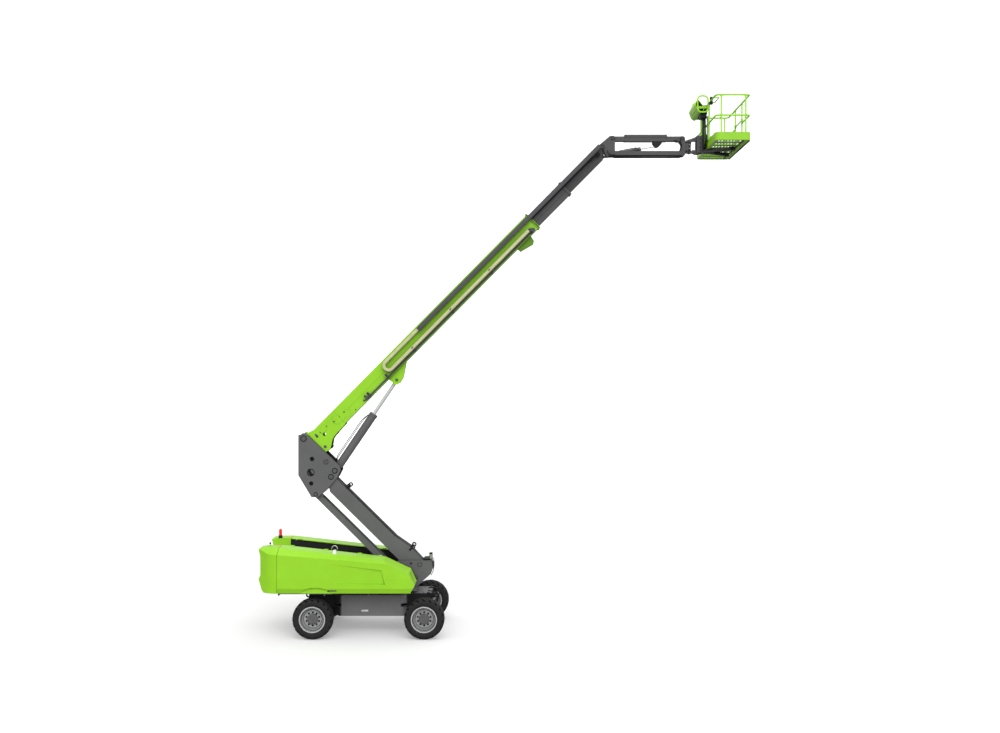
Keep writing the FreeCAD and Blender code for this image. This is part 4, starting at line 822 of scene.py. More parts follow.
# blanking plates over the vents near each cover's nose, lying on the leaning side
ventLook = {"x": -2.745, "side": 1.2336, "z": 1.535, "lean": 0.0387, "halfLong": 0.120, "halfHigh": 0.034,
            "thick": 0.002}
wide, high = ventLook["halfLong"], ventLook["halfHigh"]
for sideName, s in (("near", -1.0), ("far", 1.0)):
    centre = np.array([ventLook["x"], s * (ventLook["side"] + ventLook["thick"] / 2), ventLook["z"]])
    leaning = np.array([0.0, -s * ventLook["lean"], 1.0]) / math.hypot(1.0, ventLook["lean"])
    plate = plateShape([(-wide, -high), (wide, -high), (wide, high), (-wide, high)], ventLook["thick"],
                       centre, (1, 0, 0), leaning)
    addPiece(f"vent_plate_{sideName}", plate, f"cover_{sideName}", "limePaint")

# counterweight: a knob on a green stem, an orange marker, rear lamp strips and bolts
knobFoot = fromSlew(look["knobX"], look["knobY"], look["top"] - 0.006)
stem = lathe([(0.026, 0.0), (0.026, 0.008), (0.015, 0.012), (0.012, look["knobStem"])], knobFoot, upward, 18)
ballAngles = np.linspace(-1.2, math.pi / 2 - 0.05, 10)
ball = lathe([(look["knobRadius"] * math.cos(a), look["knobStem"] + look["knobRadius"] * (0.85 + math.sin(a)))
              for a in ballAngles], knobFoot, upward, 20)
addPiece("knob_stem", stem, "turntable", "limePaint")
addPiece("knob_ball", ball, "turntable", "blackPlastic")
markerX, markerY = look["markerX"], look["markerY"]
marker = block(fromSlew(markerX - 0.035, markerY - 0.030, look["top"] - 0.0025),
               fromSlew(markerX + 0.035, markerY + 0.030, look["top"] + 0.009), 0.005)
addPiece("top_markers", joined([marker, farCopy(marker)]), "turntable", "markerOrange")
lamps = [block(fromSlew(-2.706, s * look["lampY"] - 0.050, look["lampLow"]),
               fromSlew(-2.690, s * look["lampY"] + 0.050, look["lampHigh"]), 0.006) for s in (-1, 1)]
addPiece("rear_reflectors", joined(lamps), "turntable", "markerOrange")
rearBolts = [hexBolt(0.024, 0.024, fromSlew(-2.699, y, z), (-1.0, 0.0, 0.0))
             for y in (-0.62, 0.62) for z in (1.95, 1.64)]
addPiece("counterweight_bolts", joined(rearBolts), "turntable", "blackPaint")

# beacon: a dark foot under the lens, with a rubber ring and a top cap
beaconLow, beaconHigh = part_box("beacon")
beaconFoot = np.array([(beaconLow[0] + beaconHigh[0]) / 2, (beaconLow[1] + beaconHigh[1]) / 2, beaconLow[2]])
foot = openRing(0.0455, 0.052, 0.058, beaconFoot, upward, 36)
collar = openRing(0.0395, 0.0485, 0.012, beaconFoot + upward * 0.058, upward, 36)
addPiece("beacon_foot", joined([foot, collar]), "turntable", "blackPlastic")
stalk = lathe([(0.030, -0.014), (0.060, -0.010), (0.060, 0.0), (0.048, 0.004)], beaconFoot, upward, 30)
addPiece("beacon_flange", stalk, "turntable", "blackPlastic")
print("hoods and counterweight fitted")


# turntable deck between the hoods: hoses, valve block and the boom foot's fittings

deckLook = {"deckTop": 1.080, "hoseRadius": 0.016, "hoseCount": 6, "hosePitch": 0.052, "valves": 6,
            "valvePitch": 0.063, "blockTop": 1.160, "valveTop": 1.185, "stopX": 1.475, "stopY": -0.120,
            "footOuter": 0.230, "footPins": ((1.194, 1.672, 0.048), (0.802, 1.227, 0.038), (1.086, 1.337, 0.042))}

look = deckLook
bundle = []
for k in range(look["hoseCount"]):
    y = (k - (look["hoseCount"] - 1) / 2) * look["hosePitch"]
    bundle.append(tube([fromSlew(-1.30, y, 1.125), fromSlew(-0.40, y * 1.2, 1.120), fromSlew(0.55, y, 1.130),
                        fromSlew(1.05, y * 0.8, 1.30), fromSlew(1.28, y * 0.7, 1.56),
                        fromSlew(1.30, y * 0.7, 1.80)], look["hoseRadius"], steps=8))
addPiece("deck_hoses", joined(bundle), "turntable", "hoseRubber", creaseAngle=60)
valves = [block(fromSlew(-1.60, -0.20, look["deckTop"]), fromSlew(-1.28, 0.20, look["blockTop"]), 0.006)]
solenoids = []
for k in range(look["valves"]):
    y = -0.185 + look["valvePitch"] * k
    valves.append(block(fromSlew(-1.58, y, look["blockTop"]), fromSlew(-1.30, y + 0.045, look["valveTop"]), 0.005))
    solenoids.append(lathe([(0.020, 0.0), (0.020, 0.020), (0.010, 0.023), (0.010, 0.032)],
                           fromSlew(-1.46 + 0.09 * (k % 2), y + 0.023, look["valveTop"]), upward, 14))
addPiece("valve_block", joined(valves), "turntable", "zincSteel")
addPiece("valve_solenoids", joined(solenoids), "turntable", "blackPlastic")

# boom foot: retaining rings with their screws on every pin, a post with a cap and a pipe down its back
footRings, footScrews = [], []
for x, z, r in look["footPins"]:
    for s in (-1, 1):
        place = fromSlew(x, s * (look["footOuter"] + 0.012), z)
        axis = (0.0, float(s), 0.0)
        footRings.append(openRing(r + 0.002, r + 0.012, 0.006, place - np.array(axis) * 0.012, axis, 32))
        footScrews.append(hexBolt(0.010, 0.009, place, axis))
addPiece("foot_pin_rings", joined(footRings), "turntable", "blackPaint")
addPiece("foot_pin_screws", joined(footScrews), "turntable", "darkSteel")
postFoot = fromSlew(look["stopX"], look["stopY"], 1.80)
cap = lathe([(0.0385, 0.128), (0.044, 0.130), (0.044, 0.152), (0.038, 0.158), (0.004, 0.160)], postFoot, upward, 28)
addPiece("stop_post_cap", cap, "turntable", "sealRubber")
sleeve = openRing(0.0385, 0.046, 0.110, postFoot + upward * 0.012, upward, 28)
addPiece("stop_post_sleeve", sleeve, "turntable", "zincSteel")
pipe = tube([fromSlew(1.50, -0.14, 1.86), fromSlew(1.545, -0.14, 1.80), fromSlew(1.560, -0.15, 1.66),
             fromSlew(1.535, -0.16, 1.50), fromSlew(1.48, -0.14, 1.38)], 0.010, steps=10)
addPiece("foot_pipe", pipe, "turntable", "zincSteel")
edging = [block(fromSlew(1.532, -0.225, 1.56), fromSlew(1.550, -0.150, 1.76), 0.006),
          block(fromSlew(1.30, -0.19, 1.776), fromSlew(1.46, 0.19, 1.812), 0.008)]
addPiece("foot_edge_strip", joined(edging), "turntable", "blackPaint")
print("turntable fitted")


# riser and upright: pin rings, painted shade on the upright's inner faces, round its holes and along its sloped edges,
# hoses, clamps, edge strips and lifting rings

# places in it are given from the riser's head pin
armLook = {"uprightOuter": 0.225,
           "cylinderFoot": (0.097, 0.156), "tiePin": (-0.392, -0.445), "smallPin": (-0.128, 0.381),
           # black sheets on the upright's inner faces, painted shade where the plates shade each other
           "linerY": 0.1965,
           "liner": [(-0.585, 1.035), (0.195, 0.278), (0.228, 0.178), (0.138, -0.020), (-0.095, -0.296),
                     (-0.222, -0.414), (-0.340, -0.498), (-0.490, -0.498), (-0.800, 0.045), (-0.800, 1.035)],
           # holes in the plates: place, inner and outer radius of the black rings round them, painted shade that
           # widens each hole's dark
           "holes": ((-0.483, 0.457, 0.046, 0.056), (-0.516, 0.111, 0.085, 0.097),
                     (-0.504, -0.169, 0.044, 0.054), (-0.128, 0.381, 0.0515, 0.063)),
           "drum": (-0.428, 0.165, 0.095),
           "slope": [(-0.590, 1.066), (0.226, 0.278), (0.252, 0.176), (0.156, -0.018)],
           "hoseRadius": 0.014, "hoseYs": (-0.14, -0.09, -0.04, 0.04, 0.09, 0.14),
           # the riser: hoses in its tray, clamps over them and a pair of rings on each side
           "trayHoses": 5, "trayPitch": 0.05, "trayRadius": 0.015, "clampEvery": 0.62,
           "clampLine": ((0.004, -0.150), (0.046, -0.135), (0.046, 0.135), (0.004, 0.150)), "edgeY": 0.1725,
           "liftingRings": ((0.437, 0.196), (2.698, 0.146)), "ringY": 0.171}


def pinRings(places, outer, wall=0.010, depth=0.006):
    # round each pin's head a thin raised ring, and on the head a keeper plate with two screws
    rings, plates, screws = [], [], []
    for place, radius, ringOuter in places:
        for s in (-1.0, 1.0):
            axis = np.array([0.0, s, 0.0])
            face = np.array([place[0], s * outer, place[2]])
            rings.append(openRing(ringOuter - wall, ringOuter, depth, face, axis, 40))
            plates.append(openRing(radius * 0.62, radius * 0.70, 0.003, face + axis * 0.012, axis, 28))
            for turn in (-0.4, 0.4):
                at = face + axis * 0.012 + np.array([radius * turn, 0, 0])
                screws.append(hexBolt(radius * 0.15, 0.007, at, axis))
    return joined(rings), joined(plates), joined(screws)


def fromHead(x, y, z):  # a place given from the riser's head pin
    return riserHead + np.array([x, y, z], float)


look = armLook
cylinderFoot, tiePlace, smallPin = (fromHead(look[key][0], 0, look[key][1])
                                    for key in ("cylinderFoot", "tiePin", "smallPin"))
rings, plates, screws = pinRings([(riserHead, 0.045, 0.073), (boomPivot, 0.055, 0.081), (tiePlace, 0.038, 0.055),
                                  (cylinderFoot, 0.048, 0.074), (smallPin, 0.030, 0.050)],
                                 look["uprightOuter"], 0.017)
addPiece("upright_pin_rings", rings, "upright", "blackPaint")
addPiece("upright_pin_faces", plates, "upright", "charcoalPaint")
addPiece("upright_pin_screws", screws, "upright", "darkSteel")

# painted shade: black sheets on the upright's inner faces and black rings round its holes; and a grey disc behind the
# large one
shadeSheets = [plateShape(look["liner"], 0.005, fromHead(0, s * look["linerY"], 0), (1, 0, 0), (0, 0, 1)) for s in (-1, 1)]
addPiece("upright_liners", joined(shadeSheets), "upright", "sealRubber")
drumX, drumZ, drumRadius = look["drum"]
discs = [lathe([(drumRadius, -0.002), (drumRadius, 0.002)], fromHead(drumX, s * 0.2085, drumZ), (0, float(s), 0), 36)
         for s in (-1, 1)]
holeShades = [openRing(inner, outer, 0.003, fromHead(x, s * 0.2248, z), (0.0, float(s), 0.0), 40)
            for s in (-1, 1) for x, z, inner, outer in look["holes"]]
addPiece("upright_grommets", joined(holeShades), "upright", "sealRubber")
addPiece("upright_hose_drum", joined(discs), "upright", "charcoalPaint")

# a black strip along the upright's sloped edges: painted shade for the dark opening between its plates
edgeShades = [strip([fromHead(x, s * 0.2125, z) for x, z in look["slope"]], 0.020, 0.010, bend=0.03) for s in (-1, 1)]
addPiece("upright_edge_strips", joined(edgeShades), "upright", "blackPaint")

# hoses that go down inside the upright
hoses = [tube([fromHead(-0.12, y, 0.20), fromHead(-0.24, y, 0.17), fromHead(-0.38, y * 0.9, 0.06),
               fromHead(-0.52, y * 0.8, -0.06)], look["hoseRadius"], steps=8) for y in look["hoseYs"]]
addPiece("upright_hoses", joined(hoses), "upright", "hoseRubber", creaseAngle=60)

# riser: a row of hoses along its top between the plates, and clamps over them
riserLength = float(np.linalg.norm(riserHead - riserFoot))
hoses, clamps = [], []
for k in range(look["trayHoses"]):
    y = (k - (look["trayHoses"] - 1) / 2) * look["trayPitch"]
    hoses.append(tube([onRiser(0.35, 0.028, y), onRiser(1.2, 0.024, y), onRiser(2.2, 0.024, y),
                       onRiser(2.80, 0.030, y)], look["trayRadius"], steps=8))
for along in np.arange(0.55, riserLength - 0.45, look["clampEvery"]):
    path = [onRiser(along, above, y) for above, y in look["clampLine"]]
    clamps.append(strip(path, 0.030, 0.004, 0.0015, riserDirection, steps=2))
addPiece("riser_hoses", joined(hoses), "riser", "hoseRubber", creaseAngle=60)
addPiece("riser_hose_clamps", joined(clamps), "riser", "blackPaint")
edge = [strip([onRiser(a, 0.062, s * look["edgeY"]) for a in np.linspace(0.95, riserLength + 0.02, 6)], 0.016, 0.008)
        for s in (-1, 1)]
addPiece("riser_edge_strips", joined(edge), "riser", "blackPaint")
ringPlates = []
for along, above in look["liftingRings"]:
    for s in (-1, 1):
        y = s * look["ringY"]
        centre = onRiser(along, above, y)
        ringPlates.append(openRing(0.0265, 0.060, 0.022, centre - np.array([0, 0.010, 0]), (0.0, 1.0, 0.0), 28))
        ringPlates.append(strip([onRiser(along, above - 0.040, y), onRiser(along, 0.058, y)], 0.060, 0.022, 0.005,
                                riserDirection))
addPiece("riser_lifting_rings", joined(ringPlates), "riser", "blackPaint")
print("riser and upright fitted")


# main boom: caps, seams, the hose tube's clamps, pad screws, the chain's anchor and the hose tray

# places in it are given along the boom and below the line of its pivot
boomLook = {"side": 0.170, "heelFace": 0.182, "drop": 0.245, "height": 0.450, "baseEnd": 8.100, "midEnd": 9.285,
            "midSide": 0.148, "midHeight": 0.385, "seamWidth": 0.004,
            # caps on the heel's sides: place, radius, how far the face under each stands out, its height
            "pins": ((0.236, 0.533, 0.036, 0.1915, 0.002), (0.279, 0.146, 0.024, 0.182, 0.010),
                     (0.278, 0.200, 0.034, 0.182, 0.010)),
            "plugs": ((0.405, 0.188, 0.014, 0.182, 0.010), (0.633, 0.184, 0.016, 0.182, 0.010),
                      (0.850, 0.242, 0.020, 0.182, 0.010), (1.207, 0.249, 0.020, 0.170, 0.010),
                      (1.039, 0.245, 0.010, 0.170, 0.010), (1.457, 0.423, 0.016, 0.170, 0.010)),
            # seams: corners, the face they lie on, rounding
            "seams": (([(1.34, 0.262), (7.90, 0.262)], "side", 0.08),
                      ([(0.40, 0.150), (0.42, 0.265), (0.62, 0.258)], "heelFace", 0.05),
                      ([(0.925, 0.120), (0.790, 0.220), (0.860, 0.365), (1.010, 0.385)], "heelFace", 0.11),
                      ([(1.035, 0.385), (1.180, 0.372)], "side", 0.08),
                      ([(1.260, 0.215), (1.350, 0.300), (1.320, 0.400), (1.235, 0.450)], "side", 0.08)),
            "midSeam": [(8.115, 0.313), (9.250, 0.311)], "midSeamWidth": 0.006,
            "collarAlong": 8.074, "collarHalf": 0.262, "collarY": 0.2005,
            "edgePads": ([(0.60, 0.505), (0.72, 0.495)], [(0.36, 0.590), (0.43, 0.555)],
                         [(0.30, 0.668), (0.36, 0.632)]),
            "tubeY": -0.215, "tubeDrop": 0.430, "clamps": (1.98, 2.64, 3.61, 4.99, 6.40, 7.86),
            "lugY": 0.0815, "lug": [(7.318, -0.475), (7.310, -0.560), (7.330, -0.572), (7.684, -0.667),
                                    (7.743, -0.622), (7.776, -0.520), (7.770, -0.475)],
            "bracketPin": (2.733, 0.629), "bracketY": 0.112, "padSpread": 0.28,
            "anchor": [(7.842, -0.318), (7.965, -0.392), (7.960, -0.440), (7.930, -0.478), (7.900, -0.462),
                       (7.842, -0.402)]}

look = boomLook
boomSide = np.array([0.0, 1.0, 0.0])


def capsOnHeel(places):
    # low round caps with a dimple in the middle, on both side faces of the boom
    caps = []
    for along, below, radius, face, proud in places:
        profile = [(radius, -0.002), (radius, proud * 0.7), (radius * 0.8, proud), (radius * 0.35, proud),
                   (radius * 0.3, proud * 0.6), (0.001, proud * 0.6)]
        caps += [lathe(profile, onBoom(along, below, s * face), (0.0, s, 0.0), 20) for s in (-1.0, 1.0)]
    return joined(caps)


addPiece("heel_pins", capsOnHeel(look["pins"]), "boom_base", "slatePaint")
addPiece("heel_plugs", capsOnHeel(look["plugs"]), "boom_base", "slatePaint")


def seamOnSide(corners, y, width, bend=0.08, rise=0.0025):
    # a raised seam: a thin rounded bar following its corners on one side face of the boom
    return strip([onBoom(a, b, y) for a, b in corners], rise * 2, width, rise * 0.6, bend=bend, steps=2)


seams = [seamOnSide(corners, s * look[side], look["seamWidth"], bend)
         for s in (-1.0, 1.0) for corners, side, bend in look["seams"]]
addPiece("boom_seams", joined(seams), "boom_base", "shadeLime")
collarLine = [strip([onBoom(look["collarAlong"], look["drop"] + end * look["collarHalf"], s * look["collarY"])
                     for end in (-1, 1)], 0.005, 0.016, 0.001, steps=2) for s in (-1, 1)]
addPiece("collar_lines", joined(collarLine), "boom_base", "blackPaint")
midSeams = [seamOnSide(look["midSeam"], s * look["midSide"], look["midSeamWidth"]) for s in (-1.0, 1.0)]
addPiece("mid_seams", joined(midSeams), "boom_mid", "blackPaint")

# heel: dark rubber edge pads
pads = [strip([onBoom(a, b, 0.0) for a, b in line], 0.330, 0.024, 0.006) for line in look["edgePads"]]
addPiece("heel_edge_pads", joined(pads), "boom_base", "sealRubber")

# hose tube: hexagonal clamps with a small plate reaching the chain's edge, and a dark fitting at its lower end
clampRings, clampTabs = [], []
for along in look["clamps"]:
    centre = onBoom(along, look["tubeDrop"], look["tubeY"]) - boomDirection * 0.017
    clampRings.append(openRing(0.030, 0.050, 0.034, centre, boomDirection, 6))
    clampTabs.append(strip([onBoom(along, 0.400, -0.236), onBoom(along, 0.368, -0.262), onBoom(along, 0.330, -0.294)],
                           0.056, 0.026, 0.005, boomDirection))
addPiece("tube_clamps", joined(clampRings), "boom_base", "slatePaint")
addPiece("tube_clamp_tabs", joined(clampTabs), "boom_base", "slatePaint")
fitting = [lathe([(0.026, 0.0), (0.036, 0.006), (0.036, 0.090), (0.026, 0.100), (0.026, 0.130)],
                 onBoom(1.840, look["tubeDrop"], look["tubeY"]), boomDirection, 8),
           tube([onBoom(1.92, 0.415, -0.215), onBoom(1.885, 0.385, -0.220), onBoom(1.865, 0.350, -0.205),
                 onBoom(1.875, 0.325, -0.174)], 0.016, steps=10),
           tube([onBoom(1.84, 0.430, -0.215), onBoom(1.80, 0.428, -0.212), onBoom(1.775, 0.405, -0.196),
                 onBoom(1.770, 0.385, -0.174)], 0.014, steps=10)]
addPiece("tube_end_fitting", joined(fitting), "boom_base", "slatePaint", creaseAngle=50)


def boomPlate(outline, thickness, y):
    # an upright plate beside the boom, its outline given along it and above the pivot's line
    return plateShape(outline, thickness, boomPivot + y * boomSide, boomDirection, boomNormal)


# the inner lug below the mouth, its faces a darker lime as painted shade, and the cylinder bracket's pin heads
lugShadeFaces = [boomPlate(look["lug"], 0.003, s * look["lugY"]) for s in (-1, 1)]
addPiece("lug_faces", joined(lugShadeFaces), "boom_base", "shadeLime")
eyeHeads = [lathe([(0.034, -0.004), (0.034, 0.006), (0.026, 0.010), (0.001, 0.010)],
                  onBoom(*look["bracketPin"], s * look["bracketY"]), (0.0, float(s), 0.0), 24) for s in (-1, 1)]
addPiece("bracket_pin_heads", joined(eyeHeads), "boom_base", "slatePaint")

# adjusting screws of the wear pads, round each section's mouth
for body, end, side, height in (("boom_base", look["baseEnd"], look["side"], look["height"]),
                                ("boom_mid", look["midEnd"], look["midSide"], look["midHeight"])):
    screws = []
    for s in (-1.0, 1.0):
        for part in (-look["padSpread"], look["padSpread"]):
            at = onBoom(end - 0.030, look["drop"] + part * height, s * (side + 0.018))
            screws.append(hexBolt(0.010, 0.010, at, (0.0, s, 0.0)))
            at = onBoom(end - 0.030, look["drop"] + s * (height / 2 + 0.018), part * side * 2)
            screws.append(hexBolt(0.010, 0.010, at, -s * boomNormal))
    addPiece(f"{body}_pad_screws", joined(screws), body, "darkSteel")

# the chain's anchor plate at its fixed end
stay = strip([onBoom(7.88, 0.380, -0.235), onBoom(7.88, 0.380, -0.168)], 0.050, 0.060, 0.006, boomDirection)
addPiece("chain_anchor", joined([boomPlate(look["anchor"], 0.052, -0.255), stay]), "boom_base", "slatePaint")

# the tray that carries the hoses on to the tip: its ends, depths, sides and wall, and its blackened edges
trayLook = {"start": 4.050, "end": 10.640, "above": 0.068, "under": 0.1735, "near": -0.290, "far": -0.200,
            "wall": 0.005,
            "edgeAlong": (4.060, 10.630), "edgeDepths": (0.0705, 0.1700), "edgeY": -0.2915,
            "endBlock": [(4.030, -0.072), (4.085, -0.066), (4.110, -0.100), (4.090, -0.186), (4.030, -0.186)]}


def channelShape(look):
    # a square tube open at both ends: its outer outline carried along the boom, then its inner one back
    wide, high = look["far"] - look["near"], look["under"] - look["above"]
    outer = roundRect(wide, high, 0.008, 3)
    inner = roundRect(wide - 2 * look["wall"], high - 2 * look["wall"], 0.004, 3)
    rings = []
    for outline, end in ((outer, "start"), (outer, "end"), (inner, "end"), (inner, "start")):
        centre = onBoom(look[end], (look["above"] + look["under"]) / 2, (look["near"] + look["far"]) / 2)
        rings.append(centre + outline[:, :1] * boomSide + outline[:, 1:] * boomNormal)
    return gridShape(np.array(rings), wrapRows=True, wrapCols=True)


look = trayLook
trayPiece = addPiece("tray_channel", channelShape(look), "boom_fly", "boomPaint")
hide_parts("cable_tray")
trayEdges = [strip([onBoom(a, depth, look["edgeY"]) for a in look["edgeAlong"]], 0.004, 0.010, 0.001, steps=2)
             for depth in look["edgeDepths"]]
addPiece("tray_edges", joined(trayEdges), "boom_fly", "slatePaint")
# a black strip under the tray's lower edge: painted shade for the gap between the tray and the middle section
gap = strip([onBoom(8.110, 0.187, -0.212), onBoom(10.330, 0.190, -0.212)], 0.016, 0.026)
addPiece("tray_lower_strip", gap, "boom_fly", "sealRubber")
addPiece("tray_end_block", boomPlate(look["endBlock"], 0.006, look["edgeY"] - 0.002), "boom_fly", "slatePaint")
print("boom fitted")


# energy chain: ribbed links for its two runs and its bend

chainLook = {"near": -0.290, "far": -0.200, "band": 0.080, "rounding": 0.012, "pitch": 0.062, "gap": 0.010,
             "notch": 0.006, "bendCentre": (2.860, 0.231), "bendRadius": 0.120, "bendLinks": 7,
             "fixedEnd": 7.820, "movingEnd": 4.050}


def linkRing(centre, dip, over, look):
    # one section of the chain's band, across the boom and towards over, made smaller all round by the dip
    wide, high = look["far"] - look["near"], look["band"]
    ring = roundRect(wide, high, look["rounding"], 3) * np.array([1 - 2 * dip / wide, 1 - 2 * dip / high])
    return centre + ring[:, :1] * boomSide + ring[:, 1:] * over


def chainRun(a0, a1, below, look):
    # a band along the boom: its section dips by the notch for the gap between links
    links = int(round(abs(a1 - a0) / look["pitch"]))
    step = (a1 - a0) / links
    gap = look["gap"] / look["pitch"] * step
    cuts = np.array([0.0, gap * 0.35, gap * 0.5, step - gap * 0.5, step - gap * 0.35])
    along = np.concatenate([a0 + k * step + cuts for k in range(links)] + [[a1]])
    dip = np.tile(np.array([look["notch"], look["notch"], 0.0, 0.0, look["notch"]]), links)
    dip = np.append(dip, look["notch"])
    middle = (look["far"] + look["near"]) / 2
    rings = [linkRing(onBoom(a, below, middle), d, boomNormal, look) for a, d in zip(along, dip)]
    return gridShape(np.array(rings), wrapCols=True, capEnds=True)


def chainBend(look):
    # the same band turned about its centre through half a circle
    cut = math.pi / look["bendLinks"]
    stops = [(k + part, dip) for k in range(look["bendLinks"])
             for part, dip in ((0.0, 1), (0.06, 1), (0.09, 0), (0.91, 0), (0.94, 1))]
    stops.append((look["bendLinks"], 1))
    middle = onBoom(*look["bendCentre"], (look["far"] + look["near"]) / 2)
    rings = []
    for turn, dip in stops:
        spoke = -math.sin(turn * cut) * boomDirection + math.cos(turn * cut) * boomNormal
        rings.append(linkRing(middle + spoke * look["bendRadius"], dip * look["notch"], spoke, look))
    return gridShape(np.array(rings), wrapCols=True, capEnds=True)


look = chainLook
bendA, bendB = look["bendCentre"]
lower = chainRun(look["fixedEnd"], bendA, bendB + look["bendRadius"], look)
upper = chainRun(look["movingEnd"], bendA, bendB - look["bendRadius"], look)
lowerPiece = addPiece("chain_links_lower", lower, None, "chainPlastic")
upperPiece = addPiece("chain_links_upper", upper, None, "chainPlastic")
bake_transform(lowerPiece)
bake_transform(upperPiece)
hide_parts("chain_lower")
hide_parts("chain_upper")
bendPiece = addPiece("chain_links_bend", chainBend(look), "boom_mid", "chainPlastic")
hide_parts("chain_bend")
print("energy chain made")


# cylinders: glands, end caps, pipes along the barrels

cylinderLook = {"pipeRadius": 0.010, "glandLength": 0.055,
                # how far each barrel's pipes stand off it
                "pipeOffs": {"boom": (0.042, 0.076), "riser": (0.014,), "jib": (0.014,)},
                "riserFoot": (1.086, 1.337), "riserEye": (1.600, -0.135), "jibFoot": 0.385, "jibEye": (1.130, -0.175)}


def cylinderDress(foot, eye, radius, barrelLength, footRadius, hand, pipeOffs, look):
    # a gland ring at the barrel's mouth, a cap ring at its foot and bent pipes standing off along it
    axis = (eye - foot) / np.linalg.norm(eye - foot)
    side = np.cross(axis, np.array([0.0, 1.0, 0.0])) * hand
    mouth = foot + axis * (barrelLength - look["glandLength"])
    gland = openRing(radius + 0.0005, radius + 0.008, look["glandLength"], mouth, axis, 32)
    lipRing = openRing(radius * 0.62, radius + 0.006, 0.012, foot + axis * (barrelLength + 0.0005), axis, 32)
    capRing = openRing(radius + 0.0005, radius + 0.006, 0.030, foot + axis * (footRadius * 1.7 + 0.01), axis, 32)
    close = radius + 0.002
    start = footRadius * 1.7 + 0.045
    pipes = [tube([foot + axis * start + side * close, foot + axis * (start + 0.12) + side * (radius + off),
                   foot + axis * (barrelLength * 0.84) + side * (radius + off),
                   foot + axis * (barrelLength - 0.075) + side * close],
                  look["pipeRadius"], bend=0.12, steps=10) for off in pipeOffs]
    return joined([gland, lipRing, capRing]), joined(pipes)


def nodePoints(name):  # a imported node's points, in the machine's own frame
    points = np.empty(len(nodes[name].data.vertices) * 3)
    nodes[name].data.vertices.foreach_get("co", points)
    place = np.array(nodes[name].matrix_world)
    return points.reshape(-1, 3) @ place[:3, :3].T + place[:3, 3]


look = cylinderLook
riserX, riserZ = look["riserFoot"]
jibX, jibZ = look["jibEye"]
for arm, foot, eye, hand in (("boom", cylinderFoot, onBoom(*boomLook["bracketPin"], 0.0), 1),
                             ("riser", fromSlew(riserX, 0, riserZ), onRiser(*look["riserEye"], 0.0), -1),
                             ("jib", jibRoot - upward * look["jibFoot"], jibRoot + np.array([jibX, 0, jibZ]), 1)):
    body = f"{arm}_cylinder_barrel"
    verts = nodePoints(body)
    axis = (eye - foot) / np.linalg.norm(eye - foot)
    along = (verts - foot) @ axis
    off = np.linalg.norm(verts - foot - along[:, None] * axis, axis=1)
    length = float(along.max())
    radius = float(off[along > length * 0.8].max())
    eyeRadius = float(-along.min())
    rings, pipe = cylinderDress(foot, eye, radius, length, eyeRadius, hand, look["pipeOffs"][arm], look)
    addPiece(f"{body}_rings", rings, body, "charcoalPaint")
    addPiece(f"{body}_pipe", pipe, body, "blackPaint", creaseAngle=60)
print("cylinders dressed")


# jib: pin rings, hoses and the head's fittings

jibLook = {"noseOuter": 0.1325, "linkOuter": 0.102, "length": 1.790, "spacing": 0.385,
           "noseHose": ((-0.330, -0.228, -0.380), (-0.190, -0.228, -0.245), (-0.105, -0.215, -0.180),
                        (-0.075, -0.200, -0.225), (-0.140, -0.192, -0.262)),
           "linkHose": ((0.020, -0.155, -0.225), (0.050, -0.158, -0.268), (0.100, -0.160, -0.282),
                        (0.160, -0.160, -0.262), (0.225, -0.158, -0.225), (0.330, -0.156, -0.212)),
           "linkBranch": ((0.130, -0.150, -0.090), (0.165, -0.152, -0.180), (0.230, -0.152, -0.225)),
           "linkEdge": ((0.014, -0.070), (0.080, -0.235)),
           # the sleeve on the arm and the lugs for the rod's eye, given from the arm's root pin
           "sleeve": (0.316, 1.392), "sleeveY": 0.084, "sleeveRise": 0.034, "lugY": 0.0715,
           "lug": [(1.030, -0.072), (1.285, -0.072), (1.260, -0.125), (1.200, -0.184), (1.150, -0.203),
                   (1.095, -0.198), (1.060, -0.150), (1.035, -0.120)],
           # the head, given from its upper pin
           "headEdge": ((-0.150, -0.066), (-0.045, -0.075), (-0.010, -0.190), (-0.060, -0.322)), "headEdgeY": 0.092,
           "headHose": ((-0.235, -0.162, -0.070), (-0.150, -0.164, -0.082), (-0.085, -0.164, -0.125),
                        (-0.055, -0.164, -0.200), (-0.052, -0.162, -0.290)),
           "rotatorX": 0.160, "rotatorDrop": 0.210, "rotatorRadius": 0.075, "rotatorHeight": 0.230,
           "rotatorHose": ((0.046, -0.074, 0.098), (0.050, -0.075, 0.030), (0.046, -0.075, -0.060),
                           (0.018, -0.078, -0.098))}

look = jibLook
lowRoot = jibRoot - upward * look["spacing"]
for body, tag, place, radius, ringOuter, outer in (("jib_link", "nose", noseHinge, 0.040, 0.058, look["noseOuter"]),
                                                   ("jib_link", "arm", jibRoot, 0.032, 0.050, look["linkOuter"]),
                                                   ("jib_head", "arm", jibTip, 0.032, 0.050, look["linkOuter"])):
    rings, plates, screws = pinRings([(place, radius, ringOuter)], outer, 0.009, 0.005)
    addPiece(f"{body}_{tag}_pin_rings", rings, body, "blackPaint")
    addPiece(f"{body}_{tag}_pin_faces", joined([plates, screws]), body, "darkSteel")


def hoseThrough(origin, places, radius, steps=8):  # a hose through places given from an origin
    return tube([origin + np.array(place) for place in places], radius, steps=steps)


# hoses: a hook of hose under the boom's nose, and one bowed round the link's lower corner
hook = hoseThrough(noseHinge, look["noseHose"], 0.017, 10)
addPiece("nose_hoses", hook, "boom_fly", "hoseRubber", creaseAngle=60)
linkHoses = [hoseThrough(noseHinge, look["linkHose"], 0.014), hoseThrough(noseHinge, look["linkBranch"], 0.010)]
addPiece("link_hoses", joined(linkHoses), "jib_link", "hoseRubber", creaseAngle=60)
